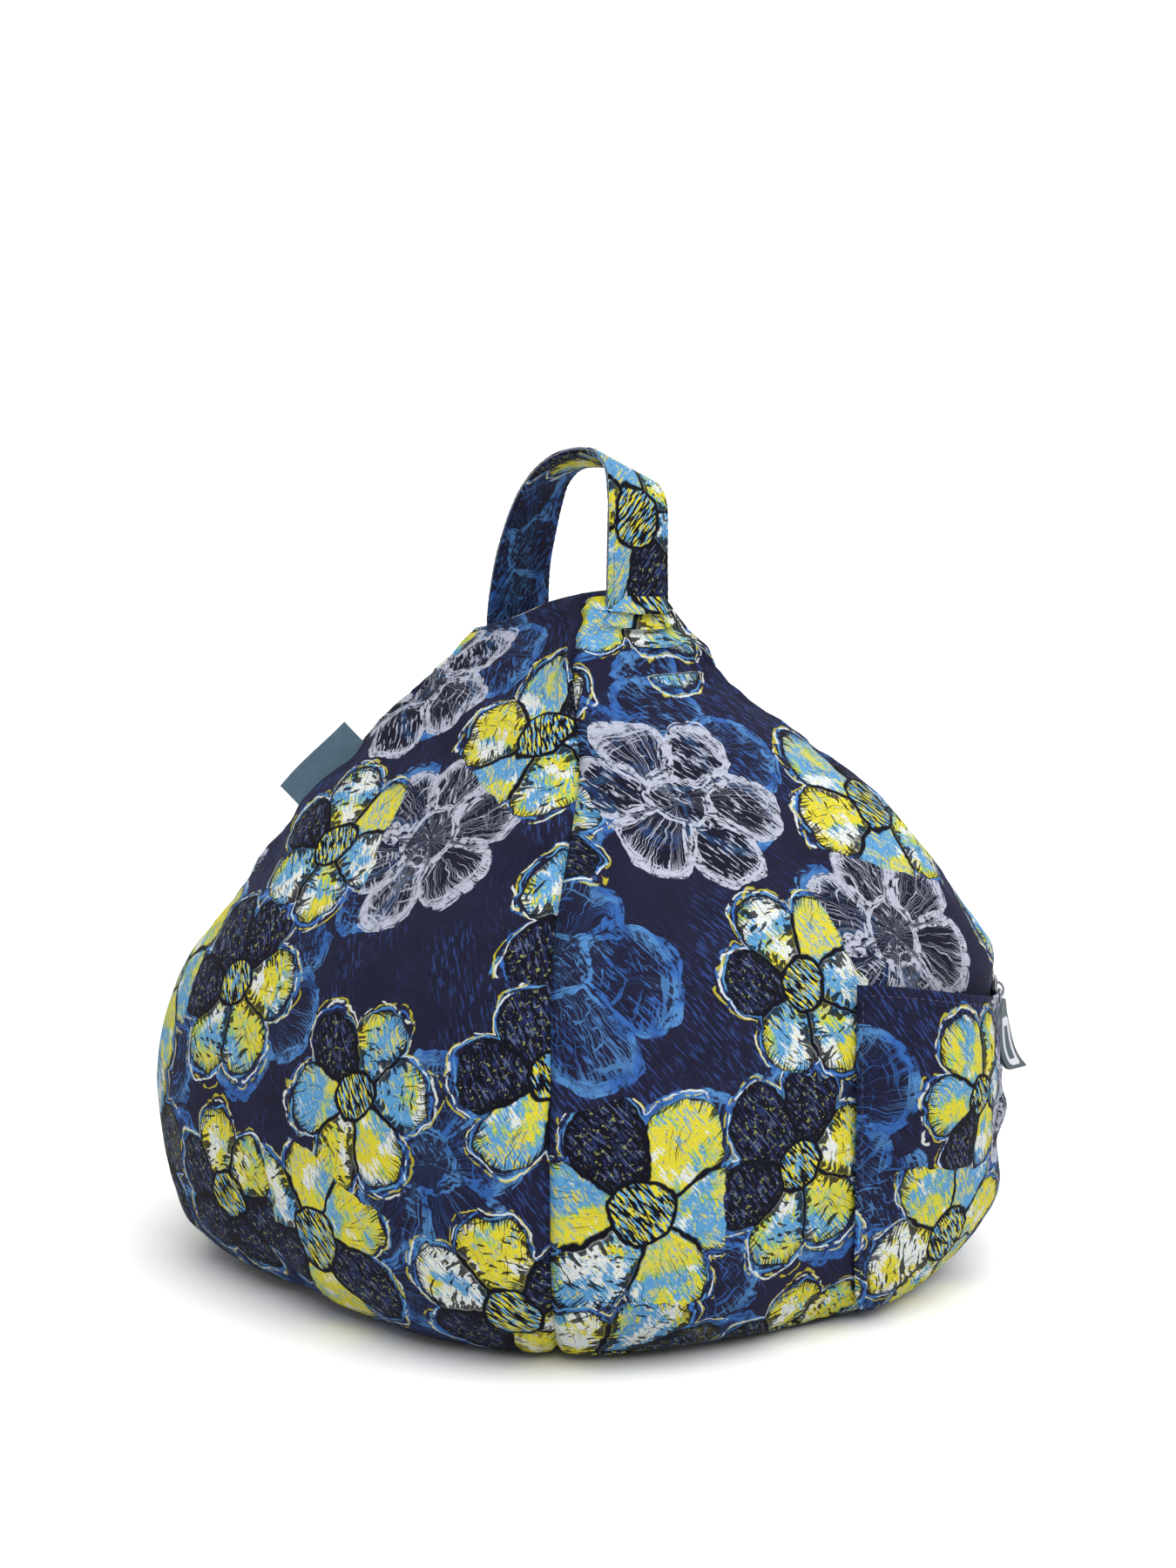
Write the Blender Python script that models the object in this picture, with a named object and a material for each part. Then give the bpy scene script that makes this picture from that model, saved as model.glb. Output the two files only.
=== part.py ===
"""Beanbag tablet stand: four-panel bag cover with a side pocket, a strap
handle and a corner zip over a filled liner.  Metres, +Z up, front = -Y,
the pocket on the +X side, origin in the middle of the base on the floor."""
import bpy
import bmesh
from math import sin, cos, tan, pi, radians, atan2, exp, sqrt
from mathutils import Vector

# ------------------------------------------------------------- dimensions
CLOTH = 0.0012           # cover cloth with its seam allowances
SEAM_GAP = 0.0004        # panel edge to panel edge
LAYER_GAP = 0.0010      # pocket to the panel behind it
ROOF_Z = 0.257           # where the flanks roll over into the ridge
ROOF_START = radians(40)
COLUMNS = 14             # grid columns in one panel

# level of the bag, half widths (+X, -X, front, back), squareness and the
# extra fullness of the front-right, front-left and back-left corners
LEVELS = (
    (0.0000, .1190, .1190, .1150, .1150, 2.80, -.010, .001, .000),
    (0.0040, .1300, .1300, .1260, .1260, 2.90, -.011, .001, .000),
    (0.0150, .1420, .1420, .1380, .1380, 3.00, -.010, .002, .000),
    (0.0350, .1490, .1490, .1460, .1460, 3.00, -.006, .003, .000),
    (0.0650, .1515, .1515, .1485, .1485, 3.00, -.003, .006, .002),
    (0.0950, .1495, .1490, .1450, .1450, 3.00, .000, .006, .002),
    (0.1250, .1430, .1400, .1345, .1345, 3.05, .000, .006, .002),
    (0.1550, .1300, .1240, .1160, .1160, 3.10, .000, .004, .004),
    (0.1850, .1060, .1020, .0920, .0930, 3.20, .000, .005, .006),
    (0.2150, .0770, .0770, .0640, .0650, 3.60, .000, .004, .005),
    (0.2380, .0550, .0570, .0400, .0400, 6.00, .000, .001, .002),
    (0.2570, .0382, .0452, .0225, .0225, 16.0, .000, .000, .000),
)
# the corner that carries the zip: radius below, along and above the zip
ZIP_LOW = (0.030, 0.1690)
ZIP_HIGH = (0.125, 0.1650)
ZIP_SLOPE = (ZIP_HIGH[1] - ZIP_LOW[1]) / (ZIP_HIGH[0] - ZIP_LOW[0])
CORNER_BELOW = ((0.000, .1400), (.004, .1490), (.015, .1605), ZIP_LOW)
CORNER_ABOVE = (ZIP_HIGH, (.155, .1465), (.185, .1190), (.215, .0850),
                (.238, .0590), (.257, .0450))

# zip
CHAIN_LOW, CHAIN_HIGH = 0.0350, 0.1180      # heights of the chain ends
PANEL_BACK = 0.0090      # panel edge to the chain's middle
TAPE_IN, TAPE_OUT = 0.0023, 0.0086
TAPE_T = 0.0007
TOOTH_PITCH = 0.0024
TOOTH_T = 0.0018
SLIDER_Z = 0.1120        # height of the slider at rest
SLIDER_LEN, SLIDER_W = 0.0105, 0.0078

# pull
LINK_LEN, LINK_W, LINK_R = 0.0085, 0.0064, 0.0006
TAB_LEN, TAB_W, TAB_T = 0.0270, 0.0098, 0.0024

# handle
STRAP_W, STRAP_T = 0.0318, 0.0026
HINGE_Z = 0.2580
HANDLE_SWING = radians(60)
# inner ends of the two slots: the strap leans inwards as it rises, so they
# reach past its roots to clear it when it is swung right over
SLOT_LEFT, SLOT_RIGHT = -.0340, .0303
# middle of the strap from the left root over the top: x, y, z, then how far
# its width turns about Z and tips down at the back, in degrees
STRAP_PATH = ((-.0413, .0000, .2580, 0.0, 0.0),
              (-.0398, -.0004, .2688, 3.2, -1.1),
              (-.0374, -.0006, .2797, 5.8, -2.4),
              (-.0336, -.0006, .2909, 7.7, -3.8),
              (-.0289, -.0007, .3015, 9.6, -5.7),
              (-.0232, -.0008, .3108, 11.6, -6.9),
              (-.0154, -.0001, .3178, 11.2, -3.8),
              (-.0053, .0017, .3219, 8.4, 4.5),
              (.0063, .0035, .3228, 6.6, 14.0),
              (.0174, .0044, .3206, 6.4, 19.6),
              (.0256, .0038, .3157, 5.6, 16.0),
              (.0302, .0023, .3079, 4.0, 7.4),
              (.0321, .0011, .2969, 3.0, 3.1),
              (.0325, .0005, .2840, 2.5, 2.8),
              (.0328, .0002, .2709, 1.4, 2.0),
              (.0333, .0000, .2580, 0.0, 0.0))

# tablet rest: flat middle of the front, two points of its slope (y, z)
REST_A, REST_B = (-.1145, .1550), (-.0645, .2125)
REST_HALF = 0.030

# pocket
POCKET_MOUTH = (0.1340, 0.1130)   # mouth height at its front and rear end
POCKET_GAPE = 0.0155
POCKET_FULL = 0.37                # where across the pocket it is fullest
POCKET_BOTTOM = 0.0080
# front edge, straight up the panel: height, angle about the bag in degrees
POCKET_FRONT = ((.000, 13.0), (.008, 7.8), (.015, 5.3), (.025, 3.0),
                (.035, 2.0), (.050, 1.2), (.080, .9), (.110, 2.0),
                (.134, 4.3))

# liner and fill
LINER_IN = 0.0042
LINER_T = 0.0006
FILL_IN = 0.0012
LINER_LOW, LINER_TOP = 0.0042, 0.2340


# ------------------------------------------------------------ small tools
def clear_scene():
    for obj in list(bpy.data.objects):
        bpy.data.objects.remove(obj, do_unlink=True)


def clamp(v, lo=0.0, hi=1.0):
    return lo if v < lo else hi if v > hi else v


def smooth(lo, hi, v):
    t = clamp((v - lo) / (hi - lo))
    return t * t * (3 - 2 * t)


def lerp(a, b, t):
    return a + (b - a) * t


def spline(rows, x, k=1, first=None, last=None):
    """Hermite curve through rows (x, ...) in column k."""
    n = len(rows)
    i = 0
    while i < n - 2 and x > rows[i + 1][0]:
        i += 1

    def step(a):
        return (rows[a + 1][k] - rows[a][k]) / (rows[a + 1][0] - rows[a][0])

    def slope(a):
        if a == 0:
            return step(0) if first is None else first
        if a == n - 1:
            return step(n - 2) if last is None else last
        h0 = rows[a][0] - rows[a - 1][0]
        h1 = rows[a + 1][0] - rows[a][0]
        return (step(a) * h0 + step(a - 1) * h1) / (h0 + h1)

    h = rows[i + 1][0] - rows[i][0]
    t = (x - rows[i][0]) / h
    a, b = rows[i][k], rows[i + 1][k]
    return ((2 * t ** 3 - 3 * t ** 2 + 1) * a
            + (t ** 3 - 2 * t ** 2 + t) * h * slope(i)
            + (-2 * t ** 3 + 3 * t ** 2) * b
            + (t ** 3 - t ** 2) * h * slope(i + 1))


def material(name, rgb, rough=0.9, metal=0.0):
    mat = bpy.data.materials.new(name)
    mat.use_nodes = True
    bsdf = mat.node_tree.nodes["Principled BSDF"]
    bsdf.inputs["Base Color"].default_value = (*rgb, 1.0)
    bsdf.inputs["Roughness"].default_value = rough
    bsdf.inputs["Metallic"].default_value = metal
    mat.diffuse_color = (*rgb, 1.0)
    return mat


def make(name, verts, faces, rgb, rough=0.9, metal=0.0, origin=None,
         round_=True):
    origin = Vector(origin) if origin is not None else Vector((0, 0, 0))
    mesh = bpy.data.meshes.new(name)
    mesh.from_pydata([Vector(v) - origin for v in verts], [], faces)
    mesh.update()
    mesh.polygons.foreach_set("use_smooth", [round_] * len(mesh.polygons))
    obj = bpy.data.objects.new(name, mesh)
    obj.location = origin
    bpy.context.scene.collection.objects.link(obj)
    obj.data.materials.append(material(name, rgb, rough, metal))
    return obj


def outward(obj):
    bm = bmesh.new()
    bm.from_mesh(obj.data)
    bmesh.ops.recalc_face_normals(bm, faces=bm.faces)
    bm.to_mesh(obj.data)
    bm.free()


def thicken(obj, amount, side):
    mod = obj.modifiers.new("cloth", "SOLIDIFY")
    mod.thickness = amount
    mod.offset = side
    mod.use_even_offset = True
    mod.use_rim = True
    return mod


def soften(obj, width, segments=2, angle=40):
    mod = obj.modifiers.new("edges", "BEVEL")
    mod.width = width
    mod.segments = segments
    mod.limit_method = "ANGLE"
    mod.angle_limit = radians(angle)
    return mod


def cut(obj, cutter):
    mod = obj.modifiers.new("slot", "BOOLEAN")
    mod.operation = "DIFFERENCE"
    mod.solver = "EXACT"
    mod.object = cutter
    return mod


def as_cutter(obj):
    obj.hide_render = True
    obj.display_type = "WIRE"
    return obj


def grid_faces(cols, rows, start=0, wrap=False):
    out = []
    n = cols if wrap else cols + 1
    for j in range(rows):
        for i in range(cols):
            a = start + j * n + i
            b = start + j * n + (i + 1) % n
            out.append((a, b, b + n, a + n))
    return out


def loft(name, rings, rgb, rough=0.9, metal=0.0, origin=None, round_=True):
    """Closed body through equal rings of points, capped at both ends."""
    n = len(rings[0])
    verts = [p for ring in rings for p in ring]
    faces = grid_faces(n, len(rings) - 1, wrap=True)
    faces.append(tuple(reversed(range(n))))
    faces.append(tuple((len(rings) - 1) * n + i for i in range(n)))
    obj = make(name, verts, faces, rgb, rough, metal, origin, round_)
    outward(obj)
    return obj


# -------------------------------------------------------------- bag shape
def level(z):
    return [spline(LEVELS, z, k) for k in range(1, 9)]


def corner_radius(z):
    if z < ZIP_LOW[0]:
        return spline(CORNER_BELOW, z, last=ZIP_SLOPE)
    if z <= ZIP_HIGH[0]:
        return ZIP_LOW[1] + (z - ZIP_LOW[0]) * ZIP_SLOPE
    return spline(CORNER_ABOVE, min(z, 0.257), first=ZIP_SLOPE)


def corner_angle(z):
    xp, xm, yf, yb = level(z)[:4]
    return pi / 4 + smooth(.14, .21, z) * (atan2(yf + yb, xp + xm) - pi / 4)


def oval(t, xp, xm, yf, yb, n):
    c, s = cos(t), sin(t)
    hx = xp if c > 0 else xm
    hy = yb if s > 0 else yf
    return (abs(c / hx) ** n + abs(s / hy) ** n) ** (-1 / n)


def radius(t, z):
    xp, xm, yf, yb, n, fr, fl, bl = level(z)
    tc = corner_angle(z)

    def full(a):
        d = (t - a + pi) % (2 * pi) - pi
        return exp(-(d / radians(30)) ** 2)

    zip_extra = corner_radius(z) - oval(tc, xp, xm, yf, yb, n)
    zip_extra *= 1 - smooth(.225, .257, z)
    return (oval(t, xp, xm, yf, yb, n) + fr * full(-tc)
            + fl * full(-(pi - tc)) + bl * full(pi - tc)
            + zip_extra * full(tc))


def bag_point(t, z):
    r = radius(t, z)
    return Vector((r * cos(t), r * sin(t), z))


def bag_normal(t, z):
    e = 1e-4
    dt = bag_point(t + e, z) - bag_point(t - e, z)
    dz = bag_point(t, z + e) - bag_point(t, z - e)
    return dt.cross(dz).normalized()


def side_angle(side, u, z):
    """u 0..1 across a panel, counter-clockwise seen from above."""
    k = tan(corner_angle(z))
    s = 2 * u - 1
    d = {"front": (s / k, -1.0), "right": (1.0, s * k),
         "back": (-s / k, 1.0), "left": (-1.0, -s * k)}[side]
    return atan2(d[1], d[0])


def rest_flat(p, deep=0.0):
    """Ease the middle of the front onto the tablet rest's plane."""
    along = Vector((0, REST_B[0] - REST_A[0], REST_B[1] - REST_A[1]))
    along.normalize()
    n = Vector((0, -along.z, along.y))
    a = Vector((0, REST_A[0], REST_A[1]))
    w = (1 - smooth(REST_HALF, REST_HALF + .028, abs(p.x)))
    w *= smooth(.128, .150, p.z) * (1 - smooth(.213, .232, p.z))
    return p - n * (((p - a).dot(n) + deep) * w)


def zip_room(z):
    """Half gap between the panels beside the zip corner."""
    s = smooth(.0200, .0300, z) * (1 - smooth(.1215, .1290, z))
    return SEAM_GAP / 2 + (PANEL_BACK - SEAM_GAP / 2) * s


def panel_levels(side):
    zs = [.0004, .004, .009, .016, .0215, .026, .030, .038, .052, .068,
          .084, .100, .115, .1215, .126, .134, .143, .155, .170, .184, .198,
          .212, .226, .238, .2465, .2525]
    if side in ("front", "left"):
        zs = [z for z in zs if z not in (.0215, .030, .1215, .134)]
    if side in ("front", "back"):
        zs.append(ROOF_Z)
    return zs


def roof(f):
    """Half depth and height of the ridge at roof angle f."""
    a = LEVELS[-1][3] / cos(ROOF_START)
    dydz = (LEVELS[-1][3] - LEVELS[-2][3]) / (LEVELS[-1][0] - LEVELS[-2][0])
    b = -a * tan(ROOF_START) / dydz
    return a * cos(f), ROOF_Z + b * (sin(f) - sin(ROOF_START))


def shell(name, rows, rgb, mitres):
    """Closed cloth body under a grid of outer points.  mitres holds, for
    the first and the last column, the direction the cloth may not lean."""
    nr, nc = len(rows), len(rows[0])
    inner = []
    for j in range(nr):
        line = []
        for i in range(nc):
            du = rows[j][min(i + 1, nc - 1)] - rows[j][max(i - 1, 0)]
            dv = rows[min(j + 1, nr - 1)][i] - rows[max(j - 1, 0)][i]
            n = du.cross(dv).normalized()
            k = mitres(j, 0) if i == 0 else mitres(j, 1) \
                if i == nc - 1 else None
            if k is not None:
                n = (n - k * n.dot(k)).normalized()
            line.append(rows[j][i] - n * CLOTH)
        inner.append(line)
    verts = [p for r in rows for p in r] + [p for r in inner for p in r]
    m = nr * nc
    faces = grid_faces(nc - 1, nr - 1)
    faces += [tuple(reversed([m + k for k in f])) for f in faces]
    rim = [i for i in range(nc)]
    rim += [j * nc + nc - 1 for j in range(1, nr)]
    rim += [(nr - 1) * nc + i for i in range(nc - 2, -1, -1)]
    rim += [j * nc for j in range(nr - 2, 0, -1)]
    for k in range(len(rim)):
        p, q = rim[k], rim[(k + 1) % len(rim)]
        faces.append((q, p, m + p, m + q))
    return make(name, verts, faces, rgb)


def panel(name, side, rgb):
    rows, angles = [], []
    for z in panel_levels(side):
        line = []
        for i in range(COLUMNS + 1):
            u = i / COLUMNS
            t = side_angle(side, u, z)
            room0 = zip_room(z) if side == "back" else SEAM_GAP / 2
            room1 = zip_room(z) if side == "right" else SEAM_GAP / 2
            w0 = max(0.0, 1 - u * 4)
            w1 = max(0.0, 1 - (1 - u) * 4)
            t += (room0 * w0 - room1 * w1) / radius(t, z)
            q = bag_point(t, z)
            if side == "front":
                q = rest_flat(q)
            line.append(q)
        rows.append(line)
        angles.append((side_angle(side, 0, z), side_angle(side, 1, z)))
    if side in ("front", "back"):
        sgn = -1 if side == "front" else 1
        for f in (55, 70, 80, 90):
            y, z = roof(radians(f))
            y = max(y, SEAM_GAP / 2)
            k = (f - 40) / 50
            x0 = -lerp(LEVELS[-1][2], LEVELS[-1][2] - .0020, k) + SEAM_GAP
            x1 = lerp(LEVELS[-1][1], LEVELS[-1][1] - .0020, k) - SEAM_GAP
            rows.append([Vector((lerp(x0, x1, i / COLUMNS) if sgn < 0 else
                                 lerp(x1, x0, i / COLUMNS), sgn * y, z))
                         for i in range(COLUMNS + 1)])
            angles.append(None)
    else:
        # end of the ridge: tucked in under the front and back panels
        sgn = 1 if side == "right" else -1
        for f in (47, 58, 70, 79):
            y, z = roof(radians(f))
            y -= .0018
            z -= .0018 * sin(radians(f))
            x = LEVELS[-1][1 if sgn > 0 else 2] - .0004
            rows.append([Vector((sgn * x, sgn * lerp(-y, y, i / COLUMNS),
                                 z)) for i in range(COLUMNS + 1)])
            angles.append(None)

    def mitre(j, end):
        if angles[j] is None:
            return Vector((1, 0, 0)) if side in ("front", "back") else \
                Vector((0, 1, 0))
        t = angles[j][end]
        return Vector((-sin(t), cos(t), 0))

    return shell(name, rows, rgb, mitre)


def slot_cutter(name, x0, x1):
    """Room for one strap end through its whole swing."""
    w = STRAP_W / 2 + 0.0008
    a = HANDLE_SWING
    pts = []
    far = 0.060
    # forward side, round the root, backward side, closed high above
    d = Vector((-sin(a), cos(a)))
    n = Vector((-cos(a), -sin(a)))
    pts.append(d * far + n * w)
    steps = 14
    for i in range(steps + 1):
        f = lerp(pi + a, 2 * pi - a, i / steps)
        pts.append(Vector((w * cos(f), w * sin(f))))
    d = Vector((sin(a), cos(a)))
    n = Vector((cos(a), -sin(a)))
    pts.append(d * far + n * w)
    pts.append(Vector((.05, .09)))
    pts.append(Vector((-.05, .09)))
    rings = [[(x, p.x, HINGE_Z + p.y) for p in pts] for x in (x0, x1)]
    return as_cutter(loft(name, rings, (.8, .2, .2)))


# ------------------------------------------------------------ zip's frame
def zip_frame():
    """Local frame on the zip corner: across, out, up (along the chain)."""
    up = Vector((ZIP_SLOPE * cos(pi / 4), ZIP_SLOPE * sin(pi / 4), 1))
    up.normalize()
    across = Vector((-sin(pi / 4), cos(pi / 4), 0))
    out = across.cross(up).normalized()
    if out.x < 0:
        out = -out
    base = bag_point(pi / 4, SLIDER_Z)
    return base, across, out, up


ZB, ZX, ZN, ZU = zip_frame()


def zip_point(a, n, u):
    """a across (towards the back), n outwards, u up from the slider."""
    return ZB + ZX * a + ZN * n + ZU * u


def zip_u(z):
    return (z - SLIDER_Z) / ZU.z


def zip_box(name, a0, a1, n0, n1, u0, u1, rgb, rough=.6, metal=0.,
            origin=None):
    rings = [[zip_point(a, n, u) for a, n in
              ((a0, n0), (a1, n0), (a1, n1), (a0, n1))] for u in (u0, u1)]
    return loft(name, rings, rgb, rough, metal, origin, round_=False)


TEETH_N0 = -0.0026       # back face of the teeth
TEETH_N1 = TEETH_N0 + TOOTH_T


def zip_comb(name, sign, rgb):
    """One row of moulded teeth on its cord, cut as a comb and thickened."""
    u0, u1 = zip_u(CHAIN_LOW), zip_u(CHAIN_HIGH)
    root, mid, tip = .0019, .00125, .0006
    count = int((u1 - u0) / TOOTH_PITCH)
    outline = [(root, u0)]
    for i in range(count):
        b = u0 + (i + (.25 if sign > 0 else .0)) * TOOTH_PITCH
        if b + .6 * TOOTH_PITCH > u1 - 1e-4:
            break
        b += .0002
        outline += [(mid, b), (tip, b + .10 * TOOTH_PITCH),
                    (tip, b + .45 * TOOTH_PITCH), (mid, b + .55 * TOOTH_PITCH)]
    outline.append((root, u1))
    rings = [[zip_point(sign * a, n, u) for a, u in outline]
             for n in (TEETH_N0, TEETH_N1)]
    return loft(name, rings, rgb, .45, 0., round_=False)


def build_zip(cloth, metal, dark):
    u0, u1 = zip_u(CHAIN_LOW), zip_u(CHAIN_HIGH)
    tn0 = TEETH_N0 + (TOOTH_T - TAPE_T) / 2
    for side, sign in (("left", -1), ("right", 1)):
        a0, a1 = sorted((sign * TAPE_IN, sign * TAPE_OUT))
        tape = zip_box("zip_tape_" + side, a0, a1, tn0, tn0 + TAPE_T,
                       u0 - .0010, u1 + .0010, dark, .9)
        zip_comb("zip_teeth_" + side, sign, (.02, .022, .035))
        b0, b1 = sorted((sign * .0005, sign * .0020))
        stop = zip_box("zip_top_stop_" + side, b0, b1, TEETH_N0 - .0003,
                       TEETH_N1 + .0003, u1 + .0003, u1 + .0021,
                       metal, .35, 1.)
        soften(stop, .0002, 1)
    stop = zip_box("zip_bottom_stop", -.0020, .0020, TEETH_N0 - .0003,
                   TEETH_N1 + .0003, u0 - .0027, u0 - .0003, metal, .35, 1.)
    soften(stop, .0003, 1)

    # slider: two plates on a thin web, with a bail for the pull
    half, w = SLIDER_LEN / 2, SLIDER_W / 2
    top0, top1 = TEETH_N1 + .0004, TEETH_N1 + .0015
    bot1, bot0 = TEETH_N0 - .0004, TEETH_N0 - .0013
    body = zip_box("zip_slider", -w, w, top0, top1, -half, half, metal,
                   .3, 1., origin=ZB)
    web = zip_box("slider_web", -.00028, .00028, bot0, top1 - .0002,
                  -half + .0010, half - .0015, metal)
    under = zip_box("slider_under", -w + .0004, w - .0004, bot0, bot1,
                    -half + .0004, half - .0004, metal)
    # bail: a small arch along the chain, standing on the top plate
    arch_o, arch_i = [], []
    steps = 8
    for i in range(steps + 1):
        f = pi * i / steps
        arch_o.append((.0036 * cos(f), .0030 * sin(f)))
        arch_i.append((.0026 * cos(f), .0020 * sin(f)))
    outline = ([(.0036, -.0006)] + arch_o + [(-.0036, -.0006)]
               + [(-.0026, -.0006)] + list(reversed(arch_i))
               + [(.0026, -.0006)])
    rings = [[zip_point(a, top1 + n, u) for u, n in outline]
             for a in (-.0009, .0009)]
    bail = loft("slider_bail", rings, metal)
    for extra in (web, under, bail):
        as_cutter(extra)
        mod = body.modifiers.new("join", "BOOLEAN")
        mod.operation = "UNION"
        mod.solver = "EXACT"
        mod.object = extra
    return top1


def rounded_rect(hw, hl, r, steps=4):
    pts = []
    for cx, cy, a0 in ((hw - r, hl - r, 0), (-(hw - r), hl - r, pi / 2),
                       (-(hw - r), -(hl - r), pi), (hw - r, -(hl - r),
                                                    1.5 * pi)):
        for i in range(steps + 1):
            a = a0 + (pi / 2) * i / steps
            pts.append((cx + r * cos(a), cy + r * sin(a)))
    return pts


def tube_loop(name, path, r, place, rgb, rough, metal, origin, sides=8):
    """Closed wire loop: path in (a, u), wire radius r."""
    n = len(path)
    verts, faces = [], []
    for i in range(n):
        p0, p1, p2 = path[i - 1], path[i], path[(i + 1) % n]
        d = Vector((p2[0] - p0[0], p2[1] - p0[1])).normalized()
        nn = Vector((d.y, -d.x))
        for k in range(sides):
            f = 2 * pi * k / sides
            off = nn * (r * cos(f))
            verts.append(place(p1[0] + off.x, r * sin(f), p1[1] + off.y))
    for i in range(n):
        for k in range(sides):
            a = i * sides + k
            b = i * sides + (k + 1) % sides
            c = ((i + 1) % n) * sides + (k + 1) % sides
            d = ((i + 1) % n) * sides + k
            faces.append((a, b, c, d))
    obj = make(name, verts, faces, rgb, rough, metal, origin)
    outward(obj)
    return obj


def build_pull(top1, metal, rubber):
    # hinge: the link's upper bar under the bail
    bar_n = top1 + .0010
    pivot = zip_point(0, bar_n, 0)

    def place(a, n, u):
        return pivot + ZX * a + ZN * n + ZU * u

    # narrow neck through the bail, wider below
    path = [(x, y - LINK_LEN / 2) for x, y in
            rounded_rect(LINK_W / 2 - LINK_R, LINK_LEN / 2, .0016)]
    tube_loop("pull_link", path, LINK_R, place, metal, .3, 1., pivot)

    # tab hangs from the link's lower bar, flaring a little at its end
    top_u = -LINK_LEN + .0026

    def flare(u):
        k = clamp((top_u - u) / TAB_LEN)
        return .0030 * k * k

    def half_w(u):
        k = clamp((top_u - u) / TAB_LEN)
        w = TAB_W / 2 * (.80 + .20 * smooth(0, .35, k))
        end = clamp((k - .86) / .14)
        w *= sqrt(max(0.0, 1 - (end * .80) ** 2))
        start = clamp((.09 - k) / .09)
        return w * sqrt(max(0.0, 1 - (start * .62) ** 2))

    us = [top_u - TAB_LEN * k for k in
          (0, .03, .09, .16, .28, .42, .56, .70, .80, .86, .91, .955, .985,
           1)]
    rings = []
    for u in us:
        w, f = half_w(u), flare(u)
        h = TAB_T / 2
        rings.append([place(a, n + f, u) for a, n in
                      ((-w, -h * .7), (-w * .92, -h), (w * .92, -h),
                       (w, -h * .7), (w, h * .7), (w * .92, h),
                       (-w * .92, h), (-w, h * .7))])
    tab = loft("pull_tab", rings, rubber, .6, 0., pivot)
    # slot for the link's bar
    bar_u = -LINK_LEN
    hole = [[place(a, n, bar_u + u) for u, n in
             ((-.0010, -.0040), (.0010, -.0040), (.0010, .0040),
              (-.0010, .0040))] for a in (-.0024, .0024)]
    as_cutter(loft("tab_slot", hole, (.8, .2, .2)))
    bar = [[place(a, n, bar_u + u) for u, n in
            ((-.0010, -.0010), (.0045, -.0010), (.0045, .0010),
             (-.0010, .0010))] for a in (-.0060, .0060)]
    as_cutter(loft("tab_bar", bar, (.8, .2, .2)))
    cut(tab, bpy.data.objects["tab_slot"])
    cut(tab, bpy.data.objects["tab_bar"])

    # shallow groove and the inlaid ring
    mid_u = top_u - TAB_LEN * .60

    def ring_body(name, grow, n0, n1, rgb):
        outer = rounded_rect(.0032 + grow, .0068 + grow, .0022 + grow, 4)
        inner = rounded_rect(.0020 - grow, .0056 - grow, .0013 - grow, 4)
        n = len(outer)
        verts, faces = [], []
        for hgt in (n0, n1):
            for pts in (outer, inner):
                for a, u in pts:
                    base = flare(mid_u + u) + TAB_T / 2
                    verts.append(place(a, base + hgt, mid_u + u))
        for i in range(n):
            j = (i + 1) % n
            o0, o1, i0, i1 = i, j, n + i, n + j
            O0, O1, I0, I1 = 2 * n + i, 2 * n + j, 3 * n + i, 3 * n + j
            faces += [(o0, O0, O1, o1)[::-1], (i0, i1, I1, I0)[::-1],
                      (o0, o1, i1, i0)[::-1], (O0, I0, I1, O1)[::-1]]
        obj = make(name, verts, faces, rgb, .5, 0., pivot, round_=False)
        outward(obj)
        return obj

    groove = as_cutter(ring_body("tab_groove", .0002, -.0007, .0010,
                                 (.8, .2, .2)))
    cut(tab, groove)
    ring_body("pull_tab_ring", 0.0, -.00045, .00025, (.86, .86, .84))


# ---------------------------------------------------------------- handle
def strap_curve(steps=36):
    """Middle of the strap, evenly stepped, with its width direction."""
    dist = [0.0]
    for a, b in zip(STRAP_PATH, STRAP_PATH[1:]):
        dist.append(dist[-1] + (Vector(b[:3]) - Vector(a[:3])).length)
    rows = [(d,) + p for d, p in zip(dist, STRAP_PATH)]
    out = []
    for i in range(steps + 1):
        s = dist[-1] * i / steps
        x, y, z, turn, tip = (spline(rows, s, k) for k in range(1, 6))
        turn, tip = radians(turn), radians(tip)
        out.append((Vector((x, y, z)),
                    Vector((-sin(turn) * cos(tip), cos(turn) * cos(tip),
                            -sin(tip)))))
    return out


def build_handle(rgb):
    curve = strap_curve()
    rings = []
    half = STRAP_W / 2

    def ring(p, w, n, half):
        t, e = STRAP_T / 2, STRAP_T * .28
        return [p + w * a + n * b for a, b in
                ((-half + e, t), (half - e, t), (half, t - e),
                 (half, -t + e), (half - e, -t), (-half + e, -t),
                 (-half, -t + e), (-half, t - e))]

    def root(p, n):
        """Half disc below the hinge line, from the bottom up."""
        out = []
        for k in (.98, .88, .68, .42, .18):
            r = half - .0002
            out.append(ring(Vector((p.x, 0, HINGE_Z - r * k)),
                            Vector((0, 1, 0)), n, r * sqrt(1 - k * k)))
        return out

    rings += root(curve[0][0], Vector((-1, 0, 0)))
    last = len(curve) - 1
    for i, (p, w) in enumerate(curve):
        t = (curve[min(i + 1, last)][0] - curve[max(i - 1, 0)][0])
        t.normalize()
        k = smooth(0, 3, min(i, last - i))
        t = (Vector((0, 0, 1 if i < last / 2 else -1)) * (1 - k) + t * k)
        t.normalize()
        w = (w - t * w.dot(t)).normalized()
        rings.append(ring(p, w, t.cross(w), half))
    rings += reversed(root(curve[-1][0], Vector((1, 0, 0))))
    loft("handle_strap", rings, rgb, .9, 0., (0, 0, HINGE_Z))


# ---------------------------------------------------------------- pocket
def pocket_front_angle(z):
    return radians(spline(POCKET_FRONT, min(z, POCKET_FRONT[-1][0])))


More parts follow.
